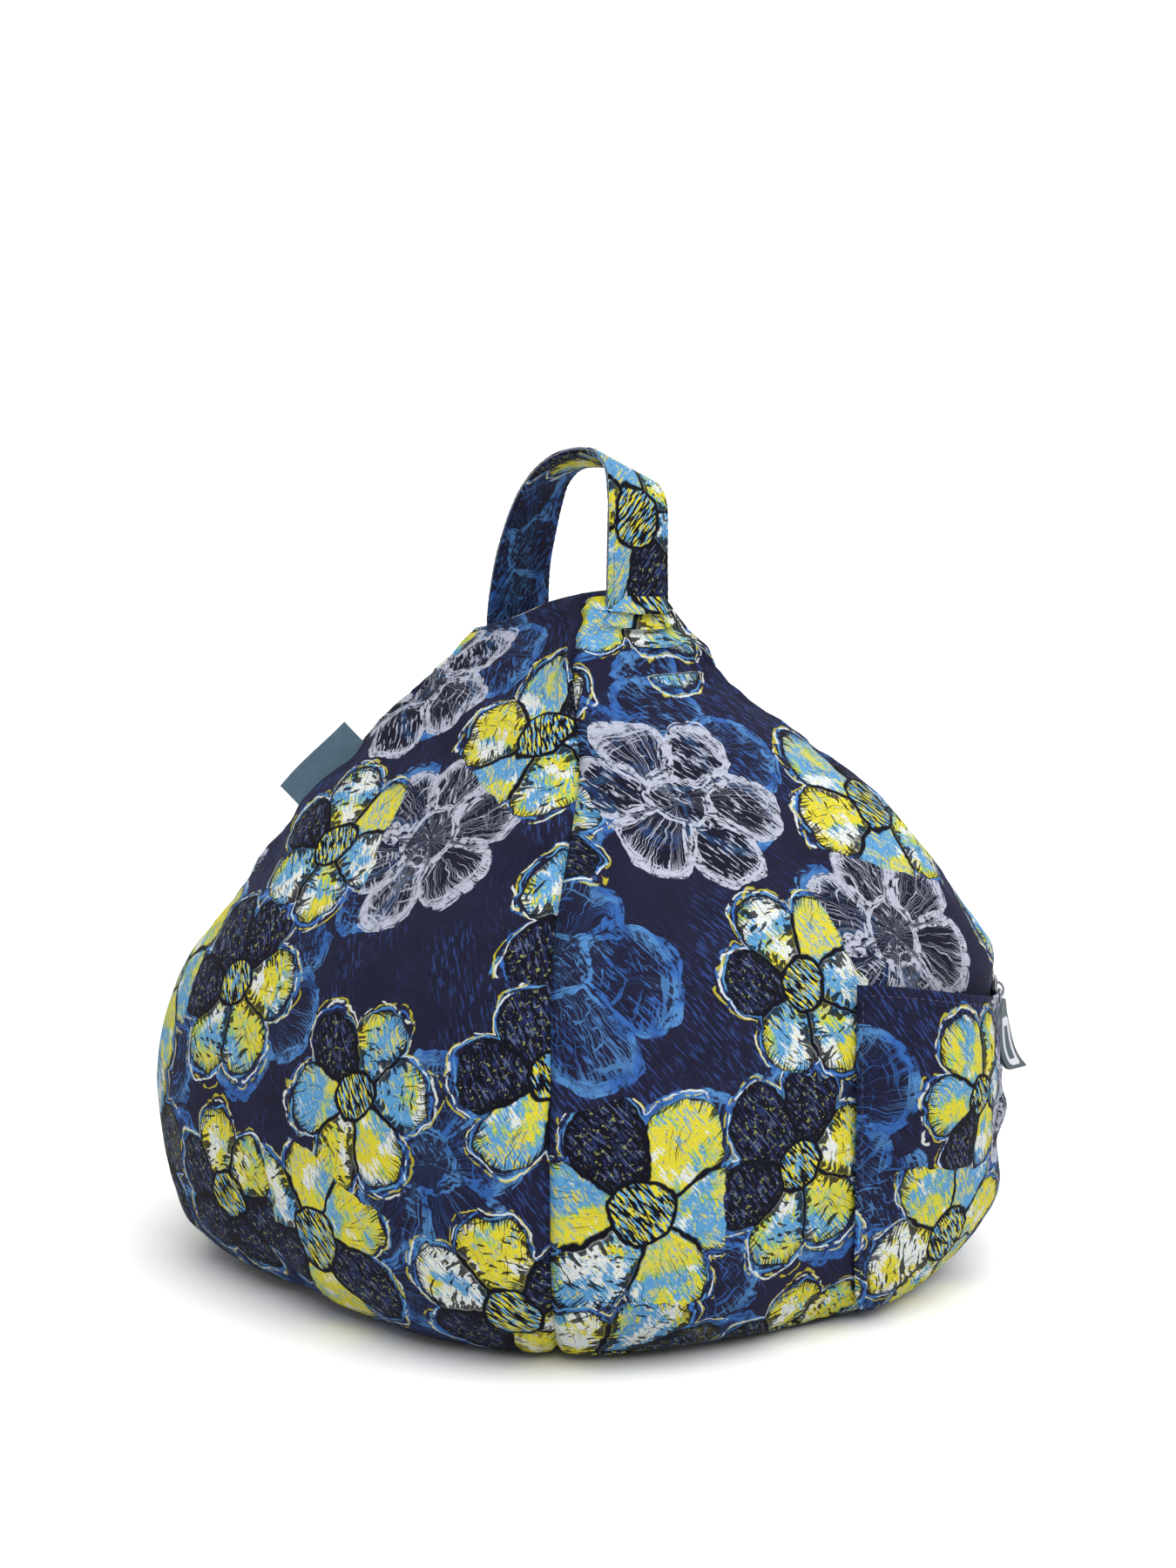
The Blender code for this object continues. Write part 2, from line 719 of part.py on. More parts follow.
def pocket_swell(u, v):
    """How far the pocket stands off the panel behind it."""
    if u < POCKET_FULL:
        across = sin(pi / 2 * u / POCKET_FULL) ** .72
    else:
        across = max(0.0, cos(pi / 2 * (u - POCKET_FULL)
                              / (1 - POCKET_FULL))) ** 1.8
    return POCKET_GAPE * across * smooth(.04, .80, v) ** .85


def pocket_rear_angle(z):
    r = radius(pi / 4, z)
    return pi / 4 - (.0108 / r)


def build_pocket(rgb):
    cols, rows = 14, 15
    verts = []
    for j in range(rows + 1):
        v = j / rows
        for i in range(cols + 1):
            u = i / cols
            mouth = lerp(POCKET_MOUTH[0], POCKET_MOUTH[1], smooth(0, 1, u))
            z = lerp(POCKET_BOTTOM, mouth, v ** .93)
            t = lerp(pocket_front_angle(z), pocket_rear_angle(z), u)
            n = bag_normal(t, z)
            flat = Vector((n.x, n.y, 0)).normalized()
            p = bag_point(t, z) + n * LAYER_GAP + flat * pocket_swell(u, v)
            verts.append(p)
    obj = make("side_pocket", verts, grid_faces(cols, rows), rgb)
    thicken(obj, CLOTH, 1)


# -------------------------------------------------------- base and inside
def build_base(rgb):
    n = 40
    outline = []
    for i in range(n):
        t = 2 * pi * i / n
        r = radius(t, 0.0004) - .0026
        outline.append((r * cos(t), r * sin(t)))
    rings = [[(x, y, z) for x, y in outline] for z in (0.0, CLOTH)]
    loft("base_panel", rings, rgb, .9, 0., round_=False)


def inner_ring(z, n, inset, dent=True):
    pts = []
    for i in range(n):
        t = 2 * pi * (i + .5) / n
        r = radius(t, z) - inset / max(.45, bag_normal(t, z).to_2d().length)
        if dent:
            d = (t - pi / 4 + pi) % (2 * pi) - pi
            r -= .0040 * exp(-(d / radians(9)) ** 2) \
                * smooth(.010, .030, z) * (1 - smooth(.125, .150, z))
        p = Vector((r * cos(t), r * sin(t), z))
        pts.append(rest_flat(p, inset + .0004) if p.y < 0 else p)
    return pts


def inside_levels(lo, hi):
    zs = [.010, .020, .034, .052, .072, .094, .114, .132, .150, .168, .186,
          .204, .220]
    return [lo] + [z for z in zs if lo + .003 < z < hi - .003] + [hi]


def build_inside(rgb_liner, rgb_fill, rgb_tape):
    n = 32
    # liner: a thin bag, open at its filling slit on the back
    outer = [inner_ring(z, n, LINER_IN) for z in
             inside_levels(LINER_LOW, LINER_TOP)]
    verts = [p for ring in outer for p in ring]
    faces = grid_faces(n, len(outer) - 1, wrap=True)
    faces.append(tuple(reversed(range(n))))
    faces.append(tuple((len(outer) - 1) * n + i for i in range(n)))
    slit = [k for k, f in enumerate(faces) if len(f) == 4 and all(
        verts[i].y > .03 and abs(verts[i].x) < .034
        and .165 < verts[i].z < .205 for i in f)]
    faces = [f for k, f in enumerate(faces) if k not in slit]
    liner = make("inner_liner", verts, faces, rgb_liner)
    thicken(liner, LINER_T, -1)

    # closure: a strip over the slit
    zs = (.162, .176, .190, .210)
    cols = 6
    pts = []
    for z in zs:
        for i in range(cols + 1):
            t = pi / 2 + radians(lerp(-24, 24, i / cols))
            nn = bag_normal(t, z)
            pts.append(bag_point(t, z) - nn * (LINER_IN - .0014))
    strip = make("liner_closure", pts, grid_faces(cols, len(zs) - 1),
                 rgb_tape)
    thicken(strip, .0007, 1)

    rings = [inner_ring(z, n, LINER_IN + LINER_T + FILL_IN) for z in
             inside_levels(LINER_LOW + LINER_T + .0008,
                           LINER_TOP - LINER_T - .0008)]
    loft("bead_fill", rings, rgb_fill, .8)


# ----------------------------------------------------------------- label
def build_label(rgb):
    """Folded woven tab caught in the front-left seam."""
    z0, z1 = .1817, .2080
    a0, a1 = -(pi - corner_angle(z0)), -(pi - corner_angle(z1))
    p0, p1 = bag_point(a0, z0), bag_point(a1, z1)
    along = (p1 - p0).normalized()
    mid = (a0 + a1) / 2
    radial = Vector((cos(mid), sin(mid), 0))
    out = (radial - along * radial.dot(along)).normalized()
    side = along.cross(out).normalized()
    length = (p1 - p0).length
    lift = max((bag_point(lerp(a0, a1, k), lerp(z0, z1, k))
                - p0).dot(out) for k in (0, .25, .5, .75, 1)) + .0006
    t = .0004
    rings = []
    for k in (0, .5, 1):
        c = p0 + along * (length * k)
        rings.append([c + out * (lift + w) + side * s for w, s in
                      ((0, -t), (.0096, -t), (.0106, -t * .3),
                       (.0106, t * .3), (.0096, t), (0, t))])
    loft("label_tab", rings, rgb, .85, 0., round_=False)


# ----------------------------------------------------------------- build
clear_scene()
NAVY = (.030, .032, .062)
NAVY_LIGHT = (.034, .040, .080)

slots = [slot_cutter("slot_left", -.0600, SLOT_LEFT),
         slot_cutter("slot_right", SLOT_RIGHT, .0600)]
for side_name, tone in (("front", NAVY), ("right", NAVY_LIGHT),
                        ("back", NAVY), ("left", NAVY_LIGHT)):
    piece = panel(side_name + "_panel", side_name, tone)
    if side_name in ("front", "back"):
        for slot in slots:
            cut(piece, slot)
build_base((.022, .024, .046))
build_pocket((.036, .044, .090))
build_handle((.030, .036, .075))
build_inside((.72, .72, .70), (.86, .86, .84), (.30, .31, .33))
plate_top = build_zip((.02, .02, .03), (.24, .25, .27), (.018, .019, .032))
build_pull(plate_top, (.30, .31, .33), (.085, .100, .112))
build_label((.10, .155, .205))
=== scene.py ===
"""Looks for the beanbag tablet stand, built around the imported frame."""
import random
from math import sin, cos, tan, pi, radians, degrees, atan2, exp, sqrt

import bmesh
import bpy
import numpy as np
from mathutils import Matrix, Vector, noise


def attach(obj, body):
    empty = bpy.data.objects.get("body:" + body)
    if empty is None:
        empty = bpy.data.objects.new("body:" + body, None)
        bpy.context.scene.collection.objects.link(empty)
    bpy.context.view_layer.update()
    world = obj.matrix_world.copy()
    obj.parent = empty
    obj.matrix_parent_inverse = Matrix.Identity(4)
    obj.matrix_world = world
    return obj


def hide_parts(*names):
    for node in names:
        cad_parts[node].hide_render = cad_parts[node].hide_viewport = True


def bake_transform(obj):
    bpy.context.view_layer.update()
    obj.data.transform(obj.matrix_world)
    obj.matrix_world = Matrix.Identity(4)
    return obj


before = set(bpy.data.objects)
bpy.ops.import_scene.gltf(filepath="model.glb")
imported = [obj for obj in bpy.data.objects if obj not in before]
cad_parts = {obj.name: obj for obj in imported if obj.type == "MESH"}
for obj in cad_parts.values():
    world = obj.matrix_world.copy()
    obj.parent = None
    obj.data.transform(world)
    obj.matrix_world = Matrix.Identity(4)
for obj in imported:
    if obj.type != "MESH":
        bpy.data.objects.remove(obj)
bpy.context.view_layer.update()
scene = bpy.context.scene

# ------------------------------------------------------------------ shape
# the same design numbers as the frame's panels
LEVELS = (
    (0.0000, .1190, .1190, .1150, .1150, 2.80, -.010, .001, .000),
    (0.0040, .1300, .1300, .1260, .1260, 2.90, -.011, .001, .000),
    (0.0150, .1420, .1420, .1380, .1380, 3.00, -.010, .002, .000),
    (0.0350, .1490, .1490, .1460, .1460, 3.00, -.006, .003, .000),
    (0.0650, .1515, .1515, .1485, .1485, 3.00, -.003, .006, .002),
    (0.0950, .1495, .1490, .1450, .1450, 3.00, .000, .006, .002),
    (0.1250, .1430, .1400, .1345, .1345, 3.05, .000, .006, .002),
    (0.1550, .1300, .1240, .1160, .1160, 3.10, .000, .004, .004),
    (0.1850, .1060, .1020, .0920, .0930, 3.20, .000, .005, .006),
    (0.2150, .0770, .0770, .0640, .0650, 3.60, .000, .004, .005),
    (0.2380, .0550, .0570, .0400, .0400, 6.00, .000, .001, .002),
    (0.2570, .0382, .0452, .0225, .0225, 16.0, .000, .000, .000),
)
ZIP_LOW = (0.030, 0.1690)
ZIP_HIGH = (0.125, 0.1650)
ZIP_SLOPE = (ZIP_HIGH[1] - ZIP_LOW[1]) / (ZIP_HIGH[0] - ZIP_LOW[0])
CORNER_BELOW = ((0.000, .1400), (.004, .1490), (.015, .1605), ZIP_LOW)
CORNER_ABOVE = (ZIP_HIGH, (.155, .1465), (.185, .1190), (.215, .0850),
                (.238, .0590), (.257, .0450))
ROOF_Z = 0.257
SEAM = 0.00003
LAYER_GAP = 0.0010
STRAP_W, STRAP_T = 0.0318, 0.0026
STRAP_PATH = ((-.0413, .0000, .2580, 0.0, 0.0),
              (-.0398, -.0004, .2688, 3.2, -1.1),
              (-.0374, -.0006, .2797, 5.8, -2.4),
              (-.0336, -.0006, .2909, 7.7, -3.8),
              (-.0289, -.0007, .3015, 9.6, -5.7),
              (-.0232, -.0008, .3108, 11.6, -6.9),
              (-.0154, -.0001, .3178, 11.2, -3.8),
              (-.0053, .0017, .3215, 8.4, 6.5),
              (.0063, .0035, .3218, 6.6, 17.5),
              (.0174, .0044, .3197, 6.4, 22.0),
              (.0256, .0038, .3157, 5.6, 16.0),
              (.0302, .0023, .3079, 4.0, 7.4),
              (.0321, .0011, .2969, 3.0, 3.1),
              (.0325, .0005, .2840, 2.5, 2.8),
              (.0328, .0002, .2709, 1.4, 2.0),
              (.0333, .0000, .2580, 0.0, 0.0))
REST_A, REST_B = (-.1145, .1550), (-.0645, .2125)
REST_HALF = 0.030
POCKET_MOUTH = (0.1324, 0.1158)
POCKET_GAPE = 0.0155
POCKET_FULL = 0.37
POCKET_BOTTOM = 0.0080
POCKET_FRONT = ((.000, 13.0), (.008, 7.8), (.015, 5.3), (.025, 3.0),
                (.035, 2.0), (.050, 1.2), (.080, .9), (.110, 2.0),
                (.134, 4.3))
# what only the look has: the ridge's height along x, and how much lower
# the tops of the panels are towards the left
CREST = ((-.0460, .2550), (-.0230, .2610), (-.0065, .2670), (.0060, .2700),
         (.0140, .2715), (.0400, .2717))
DROP = ((-.0460, .0055), (-.0200, .0030), (.0000, .0010), (.0150, .0000),
        (.0600, .0000))
# soft lobes of the lower edge: angle, height of the lobe, width
FOOT = ((-111, -.0016, 7), (-97, -.0010, 8), (-128, .0010, 8),
        (0, -.0016, 6), (12, .0030, 6), (-30, .0006, 12), (-66, .0014, 10),
        (62, -.0010, 10), (100, .0012, 12), (150, -.0018, 9),
        (-170, .0012, 10), (-150, -.0010, 7))
# places where the lower edge curls up off the floor
LIFT = ((-97, .0046, 10), (32, .0030, 9), (110, .0022, 9), (168, .0026, 9))
# how far the wall above the base stands in, beside the pocket's rear
WAIST = ((.000, -.0028), (.007, -.0036), (.018, -.0042), (.024, -.0050),
         (.028, -.0040), (.034, -.0014), (.040, .0000))
# small changes of the back right and front left corners
BACK_RIGHT = ((.125, .0000), (.145, .0010), (.165, .0030), (.195, .0036),
              (.212, .0006), (.225, -.0020), (.238, -.0022),
              (.250, .0020), (.257, .0024))
FRONT_LEFT = ((.100, .0000), (.120, -.0011), (.135, -.0027),
              (.150, -.0027), (.170, -.0027), (.190, -.0026),
              (.210, -.0030), (.225, -.0018), (.240, .0000))


def clamp(v, lo=0.0, hi=1.0):
    return lo if v < lo else hi if v > hi else v


def smooth(lo, hi, v):
    t = clamp((v - lo) / (hi - lo))
    return t * t * (3 - 2 * t)


def lerp(a, b, t):
    return a + (b - a) * t


def nsmooth(lo, hi, v):
    t = np.clip((v - lo) / (hi - lo), 0, 1)
    return t * t * (3 - 2 * t)


def line(rows, x, k=1):
    """Straight interpolation in a table."""
    if x <= rows[0][0]:
        return rows[0][k]
    for a, b in zip(rows, rows[1:]):
        if x <= b[0]:
            return lerp(a[k], b[k], (x - a[0]) / (b[0] - a[0]))
    return rows[-1][k]


def spline(rows, x, k=1, first=None, last=None):
    n = len(rows)
    i = 0
    while i < n - 2 and x > rows[i + 1][0]:
        i += 1

    def step(a):
        return (rows[a + 1][k] - rows[a][k]) / (rows[a + 1][0] - rows[a][0])

    def slope(a):
        if a == 0:
            return step(0) if first is None else first
        if a == n - 1:
            return step(n - 2) if last is None else last
        h0 = rows[a][0] - rows[a - 1][0]
        h1 = rows[a + 1][0] - rows[a][0]
        return (step(a) * h0 + step(a - 1) * h1) / (h0 + h1)

    h = rows[i + 1][0] - rows[i][0]
    t = (x - rows[i][0]) / h
    a, b = rows[i][k], rows[i + 1][k]
    return ((2 * t ** 3 - 3 * t ** 2 + 1) * a
            + (t ** 3 - 2 * t ** 2 + t) * h * slope(i)
            + (-2 * t ** 3 + 3 * t ** 2) * b
            + (t ** 3 - t ** 2) * h * slope(i + 1))


def level(z):
    return [spline(LEVELS, z, k) for k in range(1, 9)]


def corner_radius(z):
    if z < ZIP_LOW[0]:
        return spline(CORNER_BELOW, z, last=ZIP_SLOPE)
    if z <= ZIP_HIGH[0]:
        return ZIP_LOW[1] + (z - ZIP_LOW[0]) * ZIP_SLOPE
    return spline(CORNER_ABOVE, min(z, 0.257), first=ZIP_SLOPE)


def corner_angle(z):
    xp, xm, yf, yb = level(z)[:4]
    return pi / 4 + smooth(.14, .21, z) * (atan2(yf + yb, xp + xm) - pi / 4)


def oval(t, xp, xm, yf, yb, n):
    c, s = cos(t), sin(t)
    hx = xp if c > 0 else xm
    hy = yb if s > 0 else yf
    return (abs(c / hx) ** n + abs(s / hy) ** n) ** (-1 / n)


def away(t, a):
    return (t - a + pi) % (2 * pi) - pi


def lobe(t, at, width):
    return exp(-(degrees(away(t, radians(at))) / width) ** 2)


class Row:
    """Everything that one height of the bag needs, worked out once."""

    def __init__(self, z):
        self.z = z
        self.level = level(z)
        self.corner = corner_angle(z)
        extra = corner_radius(z) - oval(self.corner, *self.level[:5])
        self.extra = extra * (1 - smooth(.225, .257, z))
        self.front_right = self.corner - radians(1.0) * (1 - smooth(.10, .20,
                                                                    z))
        self.foot = 1 - smooth(.004, .036, z)
        self.curl = 1 - smooth(.000, .042, z)
        self.waist = spline(WAIST, z) if z < .040 else 0.0
        self.br = spline(BACK_RIGHT, z) if z > .125 else 0.0
        self.fl = spline(FRONT_LEFT, z) if .100 < z < .240 else 0.0

    def radius(self, t, foot=True):
        xp, xm, yf, yb, n, fr, fl, bl = self.level
        tc = self.corner

        def full(a):
            return exp(-(away(t, a) / radians(30)) ** 2)

        r = (oval(t, xp, xm, yf, yb, n) + fr * full(-tc)
             + fl * full(-(pi - tc)) + bl * full(pi - tc)
             + self.extra * full(tc))
        if foot:
            r += self.br * full(tc) + self.fl * full(-(pi - tc))
            r += self.waist * lobe(t, 35, 11)
            if self.foot > 0:
                r += self.foot * sum(h * lobe(t, a, w) for a, h, w in FOOT)
        return r

    def point(self, t, foot=True):
        r = self.radius(t, foot)
        up = 0.0
        if foot and self.curl > 0:
            up = self.curl * sum(h * lobe(t, a, w) for a, h, w in LIFT)
        return Vector((r * cos(t), r * sin(t), self.z + up))

    def angle(self, side, u):
        k = tan(self.corner)
        m = tan(self.front_right)
        if side == "front":
            d = (lerp(-1, k / m, u) / k, -1.0)
        elif side == "right":
            d = (1.0, lerp(-m / k, 1, u) * k)
        elif side == "back":
            d = (-(2 * u - 1) / k, 1.0)
        else:
            d = (-1.0, -(2 * u - 1) * k)
        return atan2(d[1], d[0])


def bag_normal(t, z):
    e = 1e-4
    a, b, row = Row(z + e), Row(z - e), Row(z)
    dt = row.point(t + e, False) - row.point(t - e, False)
    return dt.cross(a.point(t, False) - b.point(t, False)).normalized()


def rest_flat(p):
    along = Vector((0, REST_B[0] - REST_A[0], REST_B[1] - REST_A[1]))
    along.normalize()
    n = Vector((0, -along.z, along.y))
    a = Vector((0, REST_A[0], REST_A[1]))
    w = (1 - smooth(REST_HALF, REST_HALF + .028, abs(p.x)))
    w *= smooth(.128, .150, p.z) * (1 - smooth(.213, .232, p.z))
    return p - n * ((p - a).dot(n) * w)


def zip_room(z):
    """Half gap between the cloth edges beside the zip."""
    s = smooth(.0262, .0312, z) * (1 - smooth(.1168, .1216, z))
    return SEAM / 2 + (.0056 - SEAM / 2) * s


def flank(side, u, row):
    """A point of a side panel below the ridge."""
    t = row.angle(side, u)
    z = row.z
    room0 = zip_room(z) if side == "back" else SEAM / 2
    room1 = zip_room(z) if side == "right" else SEAM / 2
    t += (room0 * max(0.0, 1 - u * 4) - room1 * max(0.0, 1 - (1 - u) * 4)) \
        / row.radius(t)
    q = row.point(t)
    if side == "back":
        puff = .0098 * smooth(.030, .060, z) * (1 - smooth(.100, .136, z)) \
            * exp(-(degrees(away(t, radians(57))) / 9) ** 2)
        q += Vector((cos(t), sin(t), 0)) * puff
    elif side == "right":
        # the pocket's rear seam holds the cloth down beside the zip
        dent = .0022 * smooth(.030, .060, z) \
            * (1 - smooth(.112, .136, z)) \
            * exp(-(degrees(away(t, radians(39.5))) / 5) ** 2)
        q -= Vector((cos(t), sin(t), 0)) * dent
    if side == "front":
        q = rest_flat(q)
    # the front right corner is pulled forward near the top
    k = smooth(.200, .247, z)
    if k > 0:
        xp, xm, yf = row.level[:3]
        wide = lerp(.021, .0125, smooth(.225, .252, z))
        g = k * exp(-((q.x - xp) ** 2 + (q.y + yf) ** 2) / wide ** 2)
        q = q + Vector((-.0056, -.0098, 0)) * g
    q.x -= .0036 * smooth(.228, .252, z) * smooth(-.022, -.044, q.x)
    q.z -= line(DROP, q.x) * smooth(.232, .257, z)
    return q


TOP = Row(ROOF_Z)
RIGHT_EDGE = {"front": ((0, .0306), (.35, .0262), (.60, .0234),
                        (.74, .0240), (.90, .0325), (1, .0328)),
              "back": ((0, .0382), (.35, .0376), (.60, .0366),
                       (.90, .0328), (1, .0328))}
LEFT_EDGE = ((0, -.0486), (.5, -.0470), (.8, -.0424), (1, -.0405))


def roof(side, u, q):
    """Front or back panel rolling over into the ridge, q 0..1."""
    e = flank(side, u, TOP)
    r = spline(RIGHT_EDGE[side], q)
    left = spline(LEFT_EDGE, q)
    x = lerp(left, r, u) if side == "front" else lerp(r, left, u)
    x = lerp(e.x, x, smooth(0, .4, q))
    top = spline(CREST, x)
    rise = top - e.z
    p = ((e.y, e.z), (e.y * .70, e.z + min(.40 * abs(e.y), .85 * rise)),
         (e.y * .75, top), (0.0, top))
    k = 1 - q
    y, z = (k ** 3 * a + 3 * k * k * q * b + 3 * k * q * q * c + q ** 3 * d
            for a, b, c, d in zip(*p))
    return Vector((x, y, z))


SIDE_TOP = .60          # how far up the roof's edge the end panels reach


def end_top(side, u, q):
    """Right or left panel above the roof's start, outside the strap."""
    if side == "right":
        a, b = roof("front", 1, q), roof("back", 0, q)
        a0, b0 = roof("front", 1, 0), roof("back", 0, 0)
        lean = -.0012 * q / SIDE_TOP
    else:
        a, b = roof("back", 1, q), roof("front", 0, q)
        a0, b0 = roof("back", 1, 0), roof("front", 0, 0)
        lean = .0010 * q / SIDE_TOP
    p = flank(side, u, TOP) + (a - a0) * (1 - u) + (b - b0) * u
    edge = abs(2 * u - 1) ** 4
    dx = (a - a0).x if u < .5 else (b - b0).x
    p.x += lerp(lean, dx, edge) - (a - a0).x * (1 - u) - (b - b0).x * u
    return p


# folds under the strap's ends: height of the lower edge at u = 0, .5, 1,
# depth, where the fold starts and ends
TUCKS = {"right": (((.2672, .2636, .2662), .0032, .00, 1.0),
                   ((.2622, .2578, .2622), .0036, .08, .99),
                   ((.2566, .2508, .2560), .0028, .18, .90)),
         "left": (((.2512, .2490, .2515), .0018, .05, .95),
                  ((.2462, .2434, .2470), .0018, .15, .88))}


def tuck(side, u, z):
    """Outward push of the flat folds under the strap's end, and how much
    cloth the folds above have taken up."""
    top = .0040 + max(h for h in TUCKS[side][0][0])
    taken = 0.0
    for heights, depth, a, b in TUCKS[side]:
        h0, h1, h2 = heights
        low = h0 * (1 - u) * (1 - 2 * u) + 4 * h1 * u * (1 - u) \
            + h2 * u * (2 * u - 1)
        env = sin(pi * clamp((u - a) / (b - a))) ** 1.4
        if z >= low:
            f = clamp(1 - (z - low) / (top - low))
            return depth * env * f ** 1.1, taken
        top = low
        taken += .006 * env
    return 0.0, taken


# ---------------------------------------------------------- mesh helpers
def add_mesh(name, verts, faces, mats, uv=None, sharp=55):
    mesh = bpy.data.meshes.new(name)
    mesh.from_pydata([tuple(v) for v in verts], [], faces)
    if uv is not None:
        layer = mesh.uv_layers.new(name="print")
        idx = np.zeros(len(mesh.loops), np.int32)
        mesh.loops.foreach_get("vertex_index", idx)
        flat = np.asarray(uv, np.float32)[idx]
        layer.data.foreach_set("uv", flat.ravel())
    mesh.update()
    mesh.polygons.foreach_set("use_smooth", [True] * len(mesh.polygons))
    if sharp:
        mesh.set_sharp_from_angle(angle=radians(sharp))
    obj = bpy.data.objects.new(name, mesh)
    scene.collection.objects.link(obj)
    for m in (mats if isinstance(mats, (list, tuple)) else [mats]):
        obj.data.materials.append(m)
    return obj


def tidy(obj):
    """Make all faces look outward."""
    bm = bmesh.new()
    bm.from_mesh(obj.data)
    bmesh.ops.recalc_face_normals(bm, faces=bm.faces)
    bm.to_mesh(obj.data)
    bm.free()


def grid_faces(cols, rows, start=0, wrap=False):
    out = []
    n = cols if wrap else cols + 1
    for j in range(rows):
        for i in range(cols):
            a = start + j * n + i
            b = start + j * n + (i + 1) % n
            out.append((a, b, b + n, a + n))
    return out


def closed_shell(outer, inner):
    """Faces of a closed sheet: two equal grids and a rim between them."""
    nr, nc = outer.shape[:2]
    m = nr * nc
    faces = grid_faces(nc - 1, nr - 1)
    faces += [tuple(reversed([m + k for k in f])) for f in faces]
    rim = list(range(nc))
    rim += [j * nc + nc - 1 for j in range(1, nr)]
    rim += [(nr - 1) * nc + i for i in range(nc - 2, -1, -1)]
    rim += [j * nc for j in range(nr - 2, 0, -1)]
    for k in range(len(rim)):
        p, q = rim[k], rim[(k + 1) % len(rim)]
        faces.append((q, p, m + p, m + q))
    verts = np.concatenate([outer.reshape(-1, 3), inner.reshape(-1, 3)])
    return verts, faces


def grid_normals(g):
    du = np.gradient(g, axis=1)
    dv = np.gradient(g, axis=0)
    n = np.cross(du, dv)
    return n / np.maximum(np.linalg.norm(n, axis=2, keepdims=True), 1e-9)


def spread(s, k=.72):
    """0..1 to 0..1, with the steps closer together at both ends."""
    return s - k * sin(2 * pi * s) / (2 * pi)


def field(pts, scale, seed, octaves=2):
    """Smooth noise, about -1..1, at every point of an array."""
    flat = np.asarray(pts, float).reshape(-1, 3)
    out = np.empty(len(flat))
    off = Vector((seed * 7.13, seed * 3.71, seed * 5.37))
    for i, p in enumerate(flat):
        out[i] = noise.fractal(Vector(p) * scale + off, .9, 2.0, octaves)
    return out.reshape(np.asarray(pts).shape[:-1])


# -------------------------------------------------------------- the cover
NU, NV, NR = ((76, 120, 12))
SIDES = ("front", "right", "back", "left")
TOP_FINE = .2440


def flank_z(v):
    return .0004 + (ROOF_Z - .0004) * spread(v, .45)


def flank_v(z):
    lo, hi = 0.0, 1.0
    for _ in range(24):
        mid = (lo + hi) / 2
        if flank_z(mid) < z:
            lo = mid
        else:
            hi = mid
    return (lo + hi) / 2


def side_rows(side):
    """Row places: v up to 1 on the flank, 1 + q on the roof."""
    vs = [j / NV for j in range(NV + 1)]
    if side in ("front", "back"):
        return vs + [1 + (j + 1) / NR for j in range(NR)]
    vs = [v for v in vs if flank_z(v) < TOP_FINE - .0004]
    fine = .00045
    n = int((ROOF_Z - TOP_FINE) / fine)
    vs += [flank_v(lerp(TOP_FINE, ROOF_Z, j / n)) for j in range(n)] + [1.0]
    n = 30
    return vs + [1 + SIDE_TOP * (j + 1) / n for j in range(n)]


def raw_side(side, vs, ss):
    out = np.zeros((len(vs), len(ss), 3))
    for j, v in enumerate(vs):
        if v <= 1:
            row = Row(flank_z(v))
            for i, u in enumerate(ss):
                out[j, i] = flank(side, u, row)
        else:
            make = roof if side in ("front", "back") else end_top
            for i, u in enumerate(ss):
                out[j, i] = make(side, u, v - 1)
    return out


